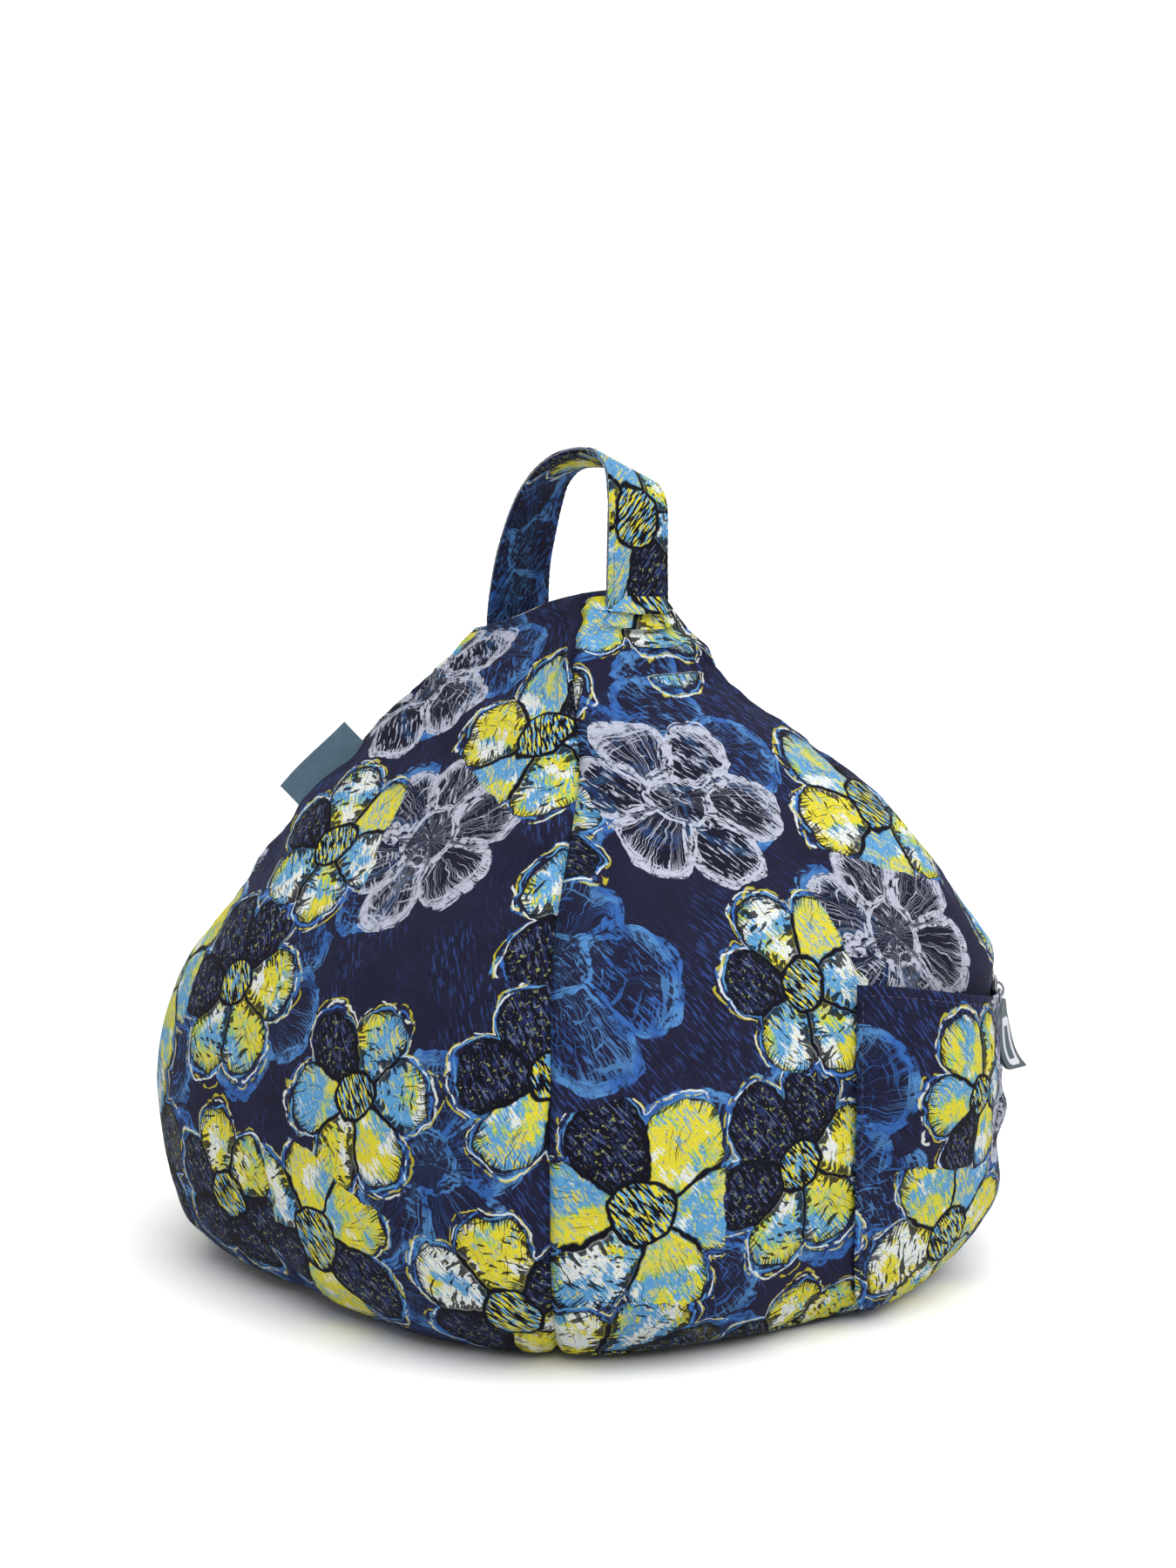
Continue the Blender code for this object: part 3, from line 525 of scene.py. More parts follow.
def simulate():
    """Puff up a coarse closed bag with the seams gathered, and return what
    the cloth does beyond its broad shape: side -> (rows, columns, grid of
    displacement along the normal)."""
    m = 34
    ss = [spread(i / m, .35) for i in range(m + 1)]
    vs = [j / 46 for j in range(47)] + [1.25, 1.5, 1.75]
    verts, index, ids = [], {}, {}
    raws = {}
    for s in SIDES:
        raws[s] = raw_side(s, vs, ss) if s in ("front", "back") else None
    for s in ("right", "left"):
        g = raw_side(s, vs[:47], ss)
        a, b = (("front", "back") if s == "right" else ("back", "front"))
        top = []
        for j in range(47, len(vs)):
            p, q = raws[a][j, -1], raws[b][j, 0]
            k = np.array([spread(i / m, .35) for i in range(m + 1)])
            top.append(p[None] * (1 - k[:, None]) + q[None] * k[:, None])
        raws[s] = np.concatenate([g, np.array(top)])
    for s in SIDES:
        ids[s] = np.zeros((len(vs), m + 1), int)
        for j in range(len(vs)):
            for i in range(m + 1):
                p = raws[s][j, i]
                key = None
                if i in (0, m):
                    k = SIDES.index(s)
                    key = (j, k if i == 0 else (k + 1) % 4)
                if key is not None and key in index:
                    ids[s][j, i] = index[key]
                    continue
                ids[s][j, i] = len(verts)
                verts.append(p)
                if key is not None:
                    index[key] = len(verts) - 1
    faces = []
    for s in SIDES:
        g = ids[s]
        for j in range(len(vs) - 1):
            for i in range(m):
                faces.append((g[j, i], g[j, i + 1], g[j + 1, i + 1],
                              g[j + 1, i]))
    f, b = ids["front"][-1], ids["back"][-1][::-1]
    for i in range(m):
        faces.append((f[i], f[i + 1], b[i + 1], b[i]))
    for s, end in (("right", m), ("left", 0)):
        g = ids[s][-1]
        faces.append(tuple(int(k) for k in g))
    ring = [int(k) for s in SIDES for k in ids[s][0][:-1]]
    mid = len(verts)
    verts.append(np.mean([verts[k] for k in ring], 0))
    for k in range(len(ring)):
        faces.append((ring[(k + 1) % len(ring)], ring[k], mid))
    verts = np.array(verts)
    mesh = bpy.data.meshes.new("puff")
    mesh.from_pydata([tuple(v) for v in verts], [],
                     [tuple(int(k) for k in f_) for f_ in faces])
    mesh.validate()
    obj = bpy.data.objects.new("puff", mesh)
    scene.collection.objects.link(obj)
    pin = obj.vertex_groups.new(name="pin")
    gather = obj.vertex_groups.new(name="gather")
    fixed = [int(k) for k in np.where((verts[:, 2] < .0030)
                                      | (verts[:, 2] > .262))[0]]
    pin.add(fixed, 1.0, "REPLACE")
    for s in SIDES:
        for j in range(len(vs)):
            for i in range(m + 1):
                e = min(i, m - i)
                if e <= 2:
                    gather.add([int(ids[s][j, i])], (1.0, .6, .25)[e], "ADD")
    mod = obj.modifiers.new("cloth", "CLOTH")
    c = mod.settings
    c.quality = 6
    c.mass = .25
    c.tension_stiffness = 30
    c.compression_stiffness = 30
    c.shear_stiffness = 12
    c.bending_stiffness = .35
    c.air_damping = 2
    c.vertex_group_mass = "pin"
    c.pin_stiffness = 1
    c.use_pressure = True
    c.uniform_pressure_force = 4
    c.vertex_group_shrink = "gather"
    c.shrink_min = 0.0
    c.shrink_max = .085
    c.effector_weights.gravity = 0
    mod.collision_settings.use_collision = False
    mod.point_cache.frame_start, mod.point_cache.frame_end = 1, 20
    for f_ in range(1, 21):
        scene.frame_set(f_)
    ev = obj.evaluated_get(bpy.context.evaluated_depsgraph_get())
    got = np.zeros(len(verts) * 3, np.float32)
    ev.data.vertices.foreach_get("co", got)
    got = got.reshape(-1, 3).astype(float)
    bpy.data.objects.remove(obj)
    scene.frame_set(1)
    out = {}
    for s in SIDES:
        base = verts[ids[s]]
        move = got[ids[s]] - base
        n = grid_normals(base)
        d = (move * n).sum(2)
        broad = d.copy()
        for _ in range(26):
            pad = np.pad(broad, 1, mode="edge")
            broad = (pad[1:-1, :-2] + pad[1:-1, 2:] + pad[:-2, 1:-1]
                     + pad[2:, 1:-1]) / 4
        out[s] = (np.array(vs), np.array(ss), d - broad)
    return out


def sampled(sim, vs, ss):
    """Grid of values at other rows and columns."""
    rows, cols, d = sim
    part = np.array([np.interp(ss, cols, r) for r in d])
    return np.array([np.interp(vs, rows, part[:, k])
                     for k in range(len(ss))]).T


PRINT_AT = {"front": (.310, .120, .10), "right": (.280, .167, .05),
            "back": (1.460, .300, .35), "left": (2.050, .640, -.15),
            "pocket": (.500, .300, 0), "strap": (.330, .2525, 0),
            "strap_in": (.165, .2925, 0)}


def print_uv(st, key):
    x, y, turn = PRINT_AT[key]
    c, s = cos(turn), sin(turn)
    return np.stack([st[..., 0] * c - st[..., 1] * s + x,
                     st[..., 0] * s + st[..., 1] * c + y], -1)


def arc_lengths(grid):
    """Cloth coordinates in metres: along each row from its middle, and up
    the middle column."""
    mid = grid.shape[1] // 2
    step = np.linalg.norm(np.diff(grid, axis=1), axis=2)
    s = np.concatenate([np.zeros((len(grid), 1)), np.cumsum(step, 1)], 1)
    s = s - s[:, mid:mid + 1]
    up = np.linalg.norm(np.diff(grid[:, mid], axis=0), axis=1)
    t = np.concatenate([[0], np.cumsum(up)])
    return np.stack([s, np.repeat(t[:, None], grid.shape[1], 1)], 2)


def pocket_front_angle(z):
    return radians(spline(POCKET_FRONT, min(z, POCKET_FRONT[-1][0])))


def pocket_rear_angle(z):
    return pi / 4 - .0108 / Row(z).radius(pi / 4, False)


def build_cover(print_mat):
    sim = simulate()
    ss = [spread(i / NU) for i in range(NU + 1)]
    pieces = {}
    for s in SIDES:
        vs = side_rows(s)
        g = raw_side(s, vs, ss)
        st = arc_lengths(g)
        n = grid_normals(g)
        v = np.array(vs)[:, None] * np.ones(len(ss))[None]
        z = g[..., 2]
        left = st[..., 0] - st[:, :1, 0]
        right = st[:, -1:, 0] - st[..., 0]
        edge = np.minimum(left, right)
        at_right = (right < left)
        # broad unevenness of the filling, then finer creases
        d = .0011 * field(g, 17, 1) + .00045 * field(g, 52, 2)
        d *= nsmooth(0, .030, edge) * nsmooth(.002, .030, z)
        # gathers beside the seams, each panel with its own
        k = SIDES.index(s) * 2 + at_right
        phase = st[..., 1] * 2 * pi / .0105 + k * 2.1 \
            + 2.4 * field(np.stack([k * 1.7, st[..., 1], 0 * z], 2), 30, 4)
        amount = .5 + .5 * field(np.stack([k * 3.1, st[..., 1], 0 * z], 2),
                                 22, 5)
        gather = np.sin(phase) * amount * .00036 \
            * np.exp(-((edge - .0025) / .0085) ** 2)
        d += gather * nsmooth(.004, .020, z)
        if sim:
            puff = np.clip(sampled(sim[s], vs, ss) * .55, -.0014, .0016)
            d += puff * (1 - nsmooth(.93, 1.0, v))
        # under and beside the pocket the cloth stays flat
        if s == "right":
            ang = np.arctan2(g[..., 1], g[..., 0])
            front = np.array([pocket_front_angle(q) for q in
                              np.clip(z[:, 0], 0, .134)])[:, None]
            behind = nsmooth(-.06, .01, ang - front) \
                * (1 - nsmooth(.130, .150, z))
            d *= 1 - .85 * behind
            gap = (ang - front) * np.hypot(g[..., 0], g[..., 1])
            d -= .0010 * np.exp(-(gap / .0012) ** 2) \
                * (1 - nsmooth(.132, .136, z))
        calm = nsmooth(.95, 1.0, v)
        d *= 1 - .6 * calm
        # the edges turn in at the seams, both panels of a seam in one
        # direction, so that they meet at the bottom of the crease
        to_seam = []
        for col in (0, -1):
            e = g[:, col]
            run = np.gradient(e, axis=0)
            run /= np.maximum(np.linalg.norm(run, axis=1,
                                             keepdims=True), 1e-9)
            out = e * (1, 1, 0)
            out /= np.linalg.norm(out, axis=1, keepdims=True)
            out -= run * (out * run).sum(1)[:, None]
            out /= np.linalg.norm(out, axis=1, keepdims=True)
            k = 1 - nsmooth(1.30, 1.60, v[:, 0])
            if (s, col) in (("right", -1), ("back", 0)):
                k *= 1 - nsmooth(.014, .024, z[:, col]) \
                    * (1 - nsmooth(.1240, .1330, z[:, col]))
            away_ = left if col == 0 else right
            k = k[:, None] * np.exp(-(away_ / .0036) ** 2)
            to_seam.append((out, k))
        for out, k in to_seam:
            n = n * (1 - k[..., None]) + out[:, None] * k[..., None]
        n /= np.linalg.norm(n, axis=2, keepdims=True)
        turned = .0024 * np.exp(-(edge / .0013) ** 1.3) \
            + .0010 * np.exp(-(edge / .0050) ** 1.5)
        # less where the corner itself already stands in
        for col, side_col in ((0, ~at_right), (-1, at_right)):
            deep = np.zeros(len(vs))
            for j in range(len(vs)):
                zz = z[j, col]
                if (s, col) in (("left", -1), ("front", 0)) \
                        and .100 < zz < .240:
                    deep[j] = -spline(FRONT_LEFT, zz)
                elif (s, col) in (("right", -1), ("back", 0)) \
                        and .130 < zz < .250:
                    deep[j] = -spline(BACK_RIGHT, zz)
            deep = np.clip(deep / .0034, 0, 1)[:, None]
            turned = np.where(side_col, turned * (1 - .88 * deep), turned)
        d -= turned
        # the lower edge turns in at the base seam
        d -= .0016 * np.exp(-(np.maximum(z - .0004, 0) / .0016) ** 1.2)
        g = g + n * d[..., None]
        g[..., 2] = np.maximum(g[..., 2], .0003)
        jump = np.zeros(g.shape[:2])
        if s in TUCKS:
            for j in range(len(vs)):
                if z[j, len(ss) // 2] < TOP_FINE - .002:
                    continue
                for i, u in enumerate(ss):
                    push, taken = tuck(s, u, z[j, i])
                    out = Vector((1 if s == "right" else -1, 0, .25))
                    g[j, i] += np.array(out.normalized()) * push
                    g[j, i, 2] -= push * .34
                    jump[j, i] = -taken
        if s in ("right", "left"):
            # the top edge folds down behind the strap's end
            last = g[-1]
            sgn = 1 if s == "right" else -1
            extra = []
            lip = .0006 if s == "right" else .0001
            for dx, dz in ((.0006, lip), (.0014, lip * .6),
                           (.0020, -.0006), (.0024, -.0030),
                           (.0070, -.0050)):
                row = last.copy()
                row[:, 0] -= sgn * dx
                row[:, 2] += dz
                extra.append(row)
            g = np.concatenate([g, np.array(extra)])
            st = np.concatenate([st, np.repeat(st[-1:], 5, 0)])
            jump = np.concatenate([jump, np.repeat(jump[-1:], 5, 0)])
        st = st.copy()
        st[..., 1] += jump
        inner = g - grid_normals(g) * .0009
        inner[..., 2] = np.maximum(inner[..., 2], .0002)
        verts, faces = closed_shell(g, inner)
        uv = print_uv(st, s).reshape(-1, 2)
        obj = add_mesh("cover_" + s, verts, faces, print_mat,
                       uv=np.concatenate([uv, uv]), sharp=70)
        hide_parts(s + "_panel")
        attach(obj, "cover")
        pieces[s] = obj
    return pieces


# ----------------------------------------------------------------- stitches
def stitch_mesh(name, runs, mat, length=.0021, gap=.0010, thick=.00022):
    """Thread stitches along runs of (point, normal) pairs."""
    verts, faces = [], []
    rng = random.Random(7)
    for run in runs:
        pts = [Vector(p) for p, _ in run]
        nrm = [Vector(n) for _, n in run]
        dist = [0.0]
        for a, b in zip(pts, pts[1:]):
            dist.append(dist[-1] + (b - a).length)

        def at(x):
            i = max(0, min(len(dist) - 2, int(np.searchsorted(dist, x)) - 1))
            t = clamp((x - dist[i]) / max(1e-9, dist[i + 1] - dist[i]))
            return pts[i].lerp(pts[i + 1], t), \
                nrm[i].lerp(nrm[i + 1], t).normalized()

        x = gap
        while x + length < dist[-1] - gap:
            le = length * rng.uniform(.92, 1.05)
            base = len(verts)
            k_long, k_round = 5, 6
            for a in range(k_long + 1):
                f = a / k_long
                p, n = at(x + le * f)
                q, _ = at(min(dist[-1], x + le * f + 1e-4))
                t = (q - p)
                if t.length < 1e-9:
                    p0, _ = at(x + le * f - 1e-4)
                    t = p - p0
                t.normalize()
                side = t.cross(n).normalized()
                r = thick * (.35 + .65 * sin(pi * (.12 + .76 * f)))
                sink = thick * (1.1 * (2 * f - 1) ** 4)
                for b in range(k_round):
                    w = 2 * pi * b / k_round
                    verts.append(p + side * (r * cos(w)) + n
                                 * (r * sin(w) + thick * .25 - sink))
            faces += grid_faces(k_round, k_long, base, wrap=True)
            faces.append(tuple(base + b for b in reversed(range(k_round))))
            faces.append(tuple(base + k_long * k_round + b
                               for b in range(k_round)))
            x += le + gap
    return add_mesh(name, verts, faces, mat, sharp=0)


# ----------------------------------------------------------------- pocket
def pocket_swell(u, v):
    if u < POCKET_FULL:
        across = sin(pi / 2 * u / POCKET_FULL) ** .72
    else:
        across = max(0.0, cos(pi / 2 * (u - POCKET_FULL)
                              / (1 - POCKET_FULL))) ** 1.8
    across *= 1 - .22 * smooth(.55, .95, v) * smooth(.5, .75, u)
    return POCKET_GAPE * across * smooth(.08, .80, v) ** .95


def pocket_point(u, v, lift=0.0):
    mouth = lerp(POCKET_MOUTH[0], POCKET_MOUTH[1], smooth(0, 1, u))
    z = lerp(.0012, mouth, v)
    # the frame's pocket starts a little higher and is spaced otherwise
    fv = clamp((z - POCKET_BOTTOM) / (mouth - POCKET_BOTTOM)) ** (1 / .93)
    t = lerp(pocket_front_angle(z), pocket_rear_angle(z), u)
    n = bag_normal(t, z)
    flat = Vector((n.x, n.y, 0)).normalized()
    held = .0022 * smooth(.030, .060, z) * (1 - smooth(.112, .136, z)) \
        * exp(-(degrees(away(t, radians(39.5))) / 5) ** 2)
    near = (LAYER_GAP + .0008) * (1 - .45 * smooth(.80, 1, u))
    return Row(z).point(t) + n * (near + lift) \
        + flat * (pocket_swell(u, fv) - held), n


def build_pocket(print_mat, thread):
    nu, nv = ((56, 74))
    us = [spread(i / nu, .6) for i in range(nu + 1)]
    vs = [1 - (1 - j / nv) ** 1.15 for j in range(nv + 1)]
    g = np.zeros((nv + 1, nu + 1, 3))
    for j, v in enumerate(vs):
        for i, u in enumerate(us):
            g[j, i] = pocket_point(u, v)[0]
    n = grid_normals(g)
    st = arc_lengths(g)
    z = g[..., 2]
    u = np.array(us)[None] * np.ones(len(vs))[:, None]
    v = np.array(vs)[:, None] * np.ones(len(us))[None]
    left = st[..., 0] - st[:, :1, 0]
    right = st[:, -1:, 0] - st[..., 0]
    down = (1 - v) * (z.max() - .0012)
    d = .0007 * field(g, 34, 8) * nsmooth(0, .015, left) \
        * nsmooth(0, .02, right) * nsmooth(0, .02, z)
    # pull lines from the two ends of the mouth
    d += .0006 * np.sin((left * .9 + down * 1.6) * 2 * pi / .019) \
        * np.exp(-((left - .010) / .018) ** 2) \
        * np.exp(-((down - .028) / .020) ** 2)
    # stitched channels beside the front edge and under the mouth
    d -= .00035 * np.exp(-((left - .0024) / .0007) ** 2)
    d -= .00030 * np.exp(-((down - .0032) / .0008) ** 2)
    d += .00025 * (1 - nsmooth(.0060, .0072, down))
    # edges roll over
    d -= .0009 * np.exp(-(left / .0007) ** 1.6)
    d -= .0016 * np.exp(-(right / .0016) ** 1.4)
    d -= .0012 * np.exp(-(np.maximum(z - .0012, 0) / .0020) ** 1.3)
    g = g + n * d[..., None]
    # the mouth's folded edge: over the top and down inside
    n_top = n[-1]
    extra = []
    for out, up in ((-.00018, .00022), (-.00055, .00036), (-.00092, .00022),
                    (-.00112, -.0003), (-.00112, -.0030), (-.00112, -.0072)):
        extra.append(g[-1] + n_top * out + np.array([0, 0, up]))
    outer = np.concatenate([g, np.array(extra)])
    inner_n = grid_normals(g)
    inner = g - inner_n * .0009
    # inner layer follows the fold at a little distance
    fold = []
    for k, e in enumerate(extra):
        fold.append(g[-1] - n_top * (.00045 + .00002 * k)
                    + np.array([0, 0, min(0.0, (e - g[-1])[0, 2])]))
    inner = np.concatenate([inner, np.array(fold)])
    stx = np.concatenate([st, np.repeat(st[-1:], len(extra), 0)])
    for k in range(len(extra)):
        stx[len(st) + k, :, 1] += .0012 * (k + 1)
    verts, faces = closed_shell(outer, inner)
    uv = print_uv(stx, "pocket").reshape(-1, 2)
    obj = add_mesh("pocket_cloth", verts, faces, print_mat,
                   uv=np.concatenate([uv, uv]), sharp=70)
    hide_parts("side_pocket")
    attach(obj, "cover")
    # topstitching
    runs = []
    col, row = [], []
    for j in range(2, nv - 1):
        i = int(np.argmin(abs(left[j] - .0024)))
        col.append((g[j, i], n[j, i]))
    mouth_j = int(np.argmin(abs(down[:, nu // 2] - .0032)))
    for i in range(1, nu):
        row.append((g[mouth_j, i], n[mouth_j, i]))
    runs = [col, row]
    st_obj = stitch_mesh("pocket_stitches", runs, thread)
    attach(st_obj, "cover")
    return obj


# ------------------------------------------------------------------ strap
def strap_frames(steps):
    dist = [0.0]
    for a, b in zip(STRAP_PATH, STRAP_PATH[1:]):
        dist.append(dist[-1] + (Vector(b[:3]) - Vector(a[:3])).length)
    rows = [(d,) + p for d, p in zip(dist, STRAP_PATH)]
    raw = []
    for i in range(steps + 1):
        s = dist[-1] * i / steps
        x, y, z, turn, tip = (spline(rows, s, k) for k in range(1, 6))
        turn, tip = radians(turn), radians(tip)
        raw.append((Vector((x, y, z)),
                    Vector((-sin(turn) * cos(tip), cos(turn) * cos(tip),
                            -sin(tip)))))
    out = []
    for i, (p, w) in enumerate(raw):
        t = raw[min(i + 1, steps)][0] - raw[max(i - 1, 0)][0]
        t.normalize()
        k = smooth(0, steps * .08, min(i, steps - i))
        t = Vector((0, 0, 1 if i < steps / 2 else -1)) * (1 - k) + t * k
        t.normalize()
        w = (w - t * w.dot(t)).normalized()
        out.append((p, w, t.cross(w).normalized()))
    return out, dist[-1]


def build_strap(print_mat, thread):
    steps = 150
    frames, total = strap_frames(steps)
    # both ends run on into the ridge
    p0, w0, n0 = frames[0]
    p1, w1, n1 = frames[-1]
    down = [.0068, .0045, .0022]
    frames = [(p0 - Vector((0, 0, d)), w0, n0) for d in down] + frames \
        + [(p1 - Vector((0, 0, d)), w1, n1) for d in reversed(down)]
    half, t = STRAP_W / 2, STRAP_T / 2

    # section: across (a) and out (b), counter-clockwise from the front edge
    def channel(a):
        return .00030 * exp(-((abs(a) - (half - .0026)) / .00065) ** 2)

    flat = [-half + .0012, -half + .0019, -half + .0026, -half + .0033,
            -half + .0045, -.009, -.0045, 0, .0045, .009,
            half - .0045, half - .0033, half - .0026, half - .0019,
            half - .0012]
    sec = [(a, t - channel(a) + .00012 * cos(a / half * 1.4)) for a in flat]
    for f in (50, 20, -20, -50):
        sec.append((half - .0010 + .0010 * cos(radians(f)),
                    t * .92 * sin(radians(f))))
    sec += [(a, -t + channel(a) - .00012 * cos(a / half * 1.4))
            for a in reversed(flat)]
    for f in (-50, -20, 20, 50):
        sec.append((-half + .0010 - .0010 * cos(radians(f)),
                    t * .92 * sin(radians(f))))
    m = len(sec)
    nf = len(flat)
    verts, uv = [], []
    s = 0.0
    prev = None
    outer_line, inner_line = {-1: [], 1: []}, {-1: [], 1: []}
    for k, (p, w, n) in enumerate(frames):
        s += (p - prev).length if prev is not None else 0.0
        prev = p
        for i, (a, b) in enumerate(sec):
            # the cloth dishes and ripples a little between its stitches
            edge = 1 - smooth(.0006, .0034, half - abs(a))
            rip = .00010 * sin(s * 2 * pi / .0031) * edge
            rip += .00022 * noise.noise(Vector((a * 60, s * 60, 3.0)))
            out = 1 if b > 0 else -1
            verts.append(p + w * a + n * (b + rip * out))
            if i < nf + 2 or i >= m - 2:
                uv.append(print_uv(np.array([a, s]), "strap"))
            else:
                uv.append(print_uv(np.array([-a, s]), "strap_in"))
        if 3 < k < len(frames) - 4:
            for e in (-1, 1):
                a = e * (half - .0026)
                outer_line[e].append((p + w * a + n * (t - .00030), n))
                inner_line[e].append((p + w * a - n * (t - .00030), -n))
    faces = grid_faces(m, len(frames) - 1, wrap=True)
    faces = [tuple(reversed(f)) for f in faces]
    faces.append(tuple(range(m)))
    faces.append(tuple((len(frames) - 1) * m + i
                       for i in reversed(range(m))))
    obj = add_mesh("handle_cloth", verts, faces, print_mat,
                   uv=np.array(uv), sharp=75)
    tidy(obj)
    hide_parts("handle_strap")
    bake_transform(obj)
    stitches = stitch_mesh("handle_stitches",
                           [outer_line[-1], outer_line[1], inner_line[-1],
                            inner_line[1]], thread)
    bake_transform(stitches)
    round(total + .0136, 4)
    return obj


# ------------------------------------------------------------- node trees
class Sock:
    """A value in a shader tree, with arithmetic."""

    def __init__(self, tree, out):
        self.tree, self.out = tree, out

    def _m(self, op, other=None, swap=False):
        a, b = (other, self) if swap else (self, other)
        return self.tree.math(op, a, b)

    def __add__(self, o): return self._m("ADD", o)
    def __radd__(self, o): return self._m("ADD", o)
    def __sub__(self, o): return self._m("SUBTRACT", o)
    def __rsub__(self, o): return self._m("SUBTRACT", o, True)
    def __mul__(self, o): return self._m("MULTIPLY", o)
    def __rmul__(self, o): return self._m("MULTIPLY", o)
    def __truediv__(self, o): return self._m("DIVIDE", o)
    def __rtruediv__(self, o): return self._m("DIVIDE", o, True)
    def __neg__(self): return self._m("MULTIPLY", -1.0)
    def __pow__(self, o): return self._m("POWER", o)


class Tree:
    def __init__(self, name):
        self.mat = bpy.data.materials.new(name)
        self.mat.use_nodes = True
        self.t = self.mat.node_tree
        self.t.nodes.clear()
        self.shader = self.t.nodes.new("ShaderNodeBsdfPrincipled")
        self.output = self.t.nodes.new("ShaderNodeOutputMaterial")
        self.t.links.new(self.shader.outputs[0], self.output.inputs[0])

    def node(self, kind, **props):
        n = self.t.nodes.new(kind)
        for k, v in props.items():
            setattr(n, k, v)
        return n

    def put(self, socket, value):
        if value is None:
            return
        if isinstance(value, Sock):
            self.t.links.new(value.out, socket)
        else:
            socket.default_value = value

    def math(self, op, a=None, b=None, c=None):
        n = self.node("ShaderNodeMath", operation=op)
        for s, v in zip(n.inputs, (a, b, c)):
            self.put(s, v)
        return Sock(self, n.outputs[0])

    def f(self, op, a):
        return self.math(op, a)

    def vec(self, op, a, b=None, scale=None):
        n = self.node("ShaderNodeVectorMath", operation=op)
        self.put(n.inputs[0], a)
        self.put(n.inputs[1], b)
        if scale is not None:
            self.put(n.inputs["Scale"], scale)
        out = n.outputs["Value"] if op in ("LENGTH", "DOT_PRODUCT",
                                           "DISTANCE") else n.outputs[0]
        return Sock(self, out)

    def sep(self, v):
        n = self.node("ShaderNodeSeparateXYZ")
        self.put(n.inputs[0], v)
        return [Sock(self, o) for o in n.outputs]

    def comb(self, x=0.0, y=0.0, z=0.0):
        n = self.node("ShaderNodeCombineXYZ")
        for s, v in zip(n.inputs, (x, y, z)):
            self.put(s, v)
        return Sock(self, n.outputs[0])

    def noise(self, v, scale, detail=2.0, rough=.5, dims="2D", color=False,
              warp=0.0):
        n = self.node("ShaderNodeTexNoise", noise_dimensions=dims)
        self.put(n.inputs["Vector"], v)
        self.put(n.inputs["Scale"], scale)
        self.put(n.inputs["Detail"], detail)
        self.put(n.inputs["Roughness"], rough)
        self.put(n.inputs["Distortion"], warp)
        return Sock(self, n.outputs["Color" if color else "Fac"])

    def voronoi(self, v, scale, rand=1.0, feature="F1", dims="2D"):
        n = self.node("ShaderNodeTexVoronoi", voronoi_dimensions=dims,
                      feature=feature)
        self.put(n.inputs["Vector"], v)
        self.put(n.inputs["Scale"], scale)
        self.put(n.inputs["Randomness"], rand)
        return {k: Sock(self, o) for k, o in n.outputs.items()}

    def white(self, v):
        n = self.node("ShaderNodeTexWhiteNoise", noise_dimensions="3D")
        self.put(n.inputs["Vector"], v)
        return Sock(self, n.outputs["Color"])

    def step(self, v, lo, hi, a=0.0, b=1.0):
        n = self.node("ShaderNodeMapRange", interpolation_type="SMOOTHSTEP")
        for s, x in zip(n.inputs, (v, lo, hi, a, b)):
            self.put(s, x)
        return Sock(self, n.outputs[0])

    def ramp(self, v, lo, hi, a=0.0, b=1.0):
        n = self.node("ShaderNodeMapRange", interpolation_type="LINEAR")
        for s, x in zip(n.inputs, (v, lo, hi, a, b)):
            self.put(s, x)
        return Sock(self, n.outputs[0])

    def mix(self, k, a, b, mode="MIX"):
        n = self.node("ShaderNodeMix", data_type="RGBA", blend_type=mode,
                      clamp_factor=True)
        self.put(n.inputs["Factor"], k)
        ins = [s for s in n.inputs if s.type == "RGBA"]
        self.put(ins[0], a)
        self.put(ins[1], b)
        return Sock(self, [o for o in n.outputs if o.type == "RGBA"][0])

    def fmix(self, k, a, b):
        return a + (b - a) * k

    def uv(self, name):
        n = self.node("ShaderNodeUVMap", uv_map=name)
        return Sock(self, n.outputs[0])

    def obj(self):
        n = self.node("ShaderNodeTexCoord")
        return Sock(self, n.outputs["Object"])

    def pointy(self):
        n = self.node("ShaderNodeNewGeometry")
        return Sock(self, n.outputs["Pointiness"])

    def bump(self, height, strength, distance, normal=None):
        n = self.node("ShaderNodeBump")
        n.inputs["Strength"].default_value = strength
        n.inputs["Distance"].default_value = distance
        self.put(n.inputs["Height"], height)
        self.put(n.inputs["Normal"], normal)
        return Sock(self, n.outputs[0])

    def finish(self, color=None, rough=None, normal=None, **fixed):
        if color is not None:
            self.put(self.shader.inputs["Base Color"], color)
        if rough is not None:
            self.put(self.shader.inputs["Roughness"], rough)
        if normal is not None:
            self.put(self.shader.inputs["Normal"], normal)
        for k, v in fixed.items():
            self.shader.inputs[k.replace("_", " ")].default_value = v
        return self.mat


def rgb(r, g, b):
    """An sRGB colour, 0 to 255, as a linear shader value."""
    def one(c):
        c /= 255
        return c / 12.92 if c <= .04045 else ((c + .055) / 1.055) ** 2.4
    return (one(r), one(g), one(b), 1.0)


def weave(t, p, pitch=.00055):
    """Plain weave height from flat cloth coordinates in metres."""
    x, y, _ = t.sep(p)
    k = 2 * pi / pitch
    wob = t.noise(p, 900.0, 1.0)
    sx = t.math("SINE", x * k + wob * 1.2)
    sy = t.math("SINE", y * k + wob * 1.2)
    over = t.math("SINE", x * (k / 2)) * t.math("SINE", y * (k / 2))
    s = t.step(over, -.3, .3)
    return t.fmix(s, sx, sy) * .5 + .5


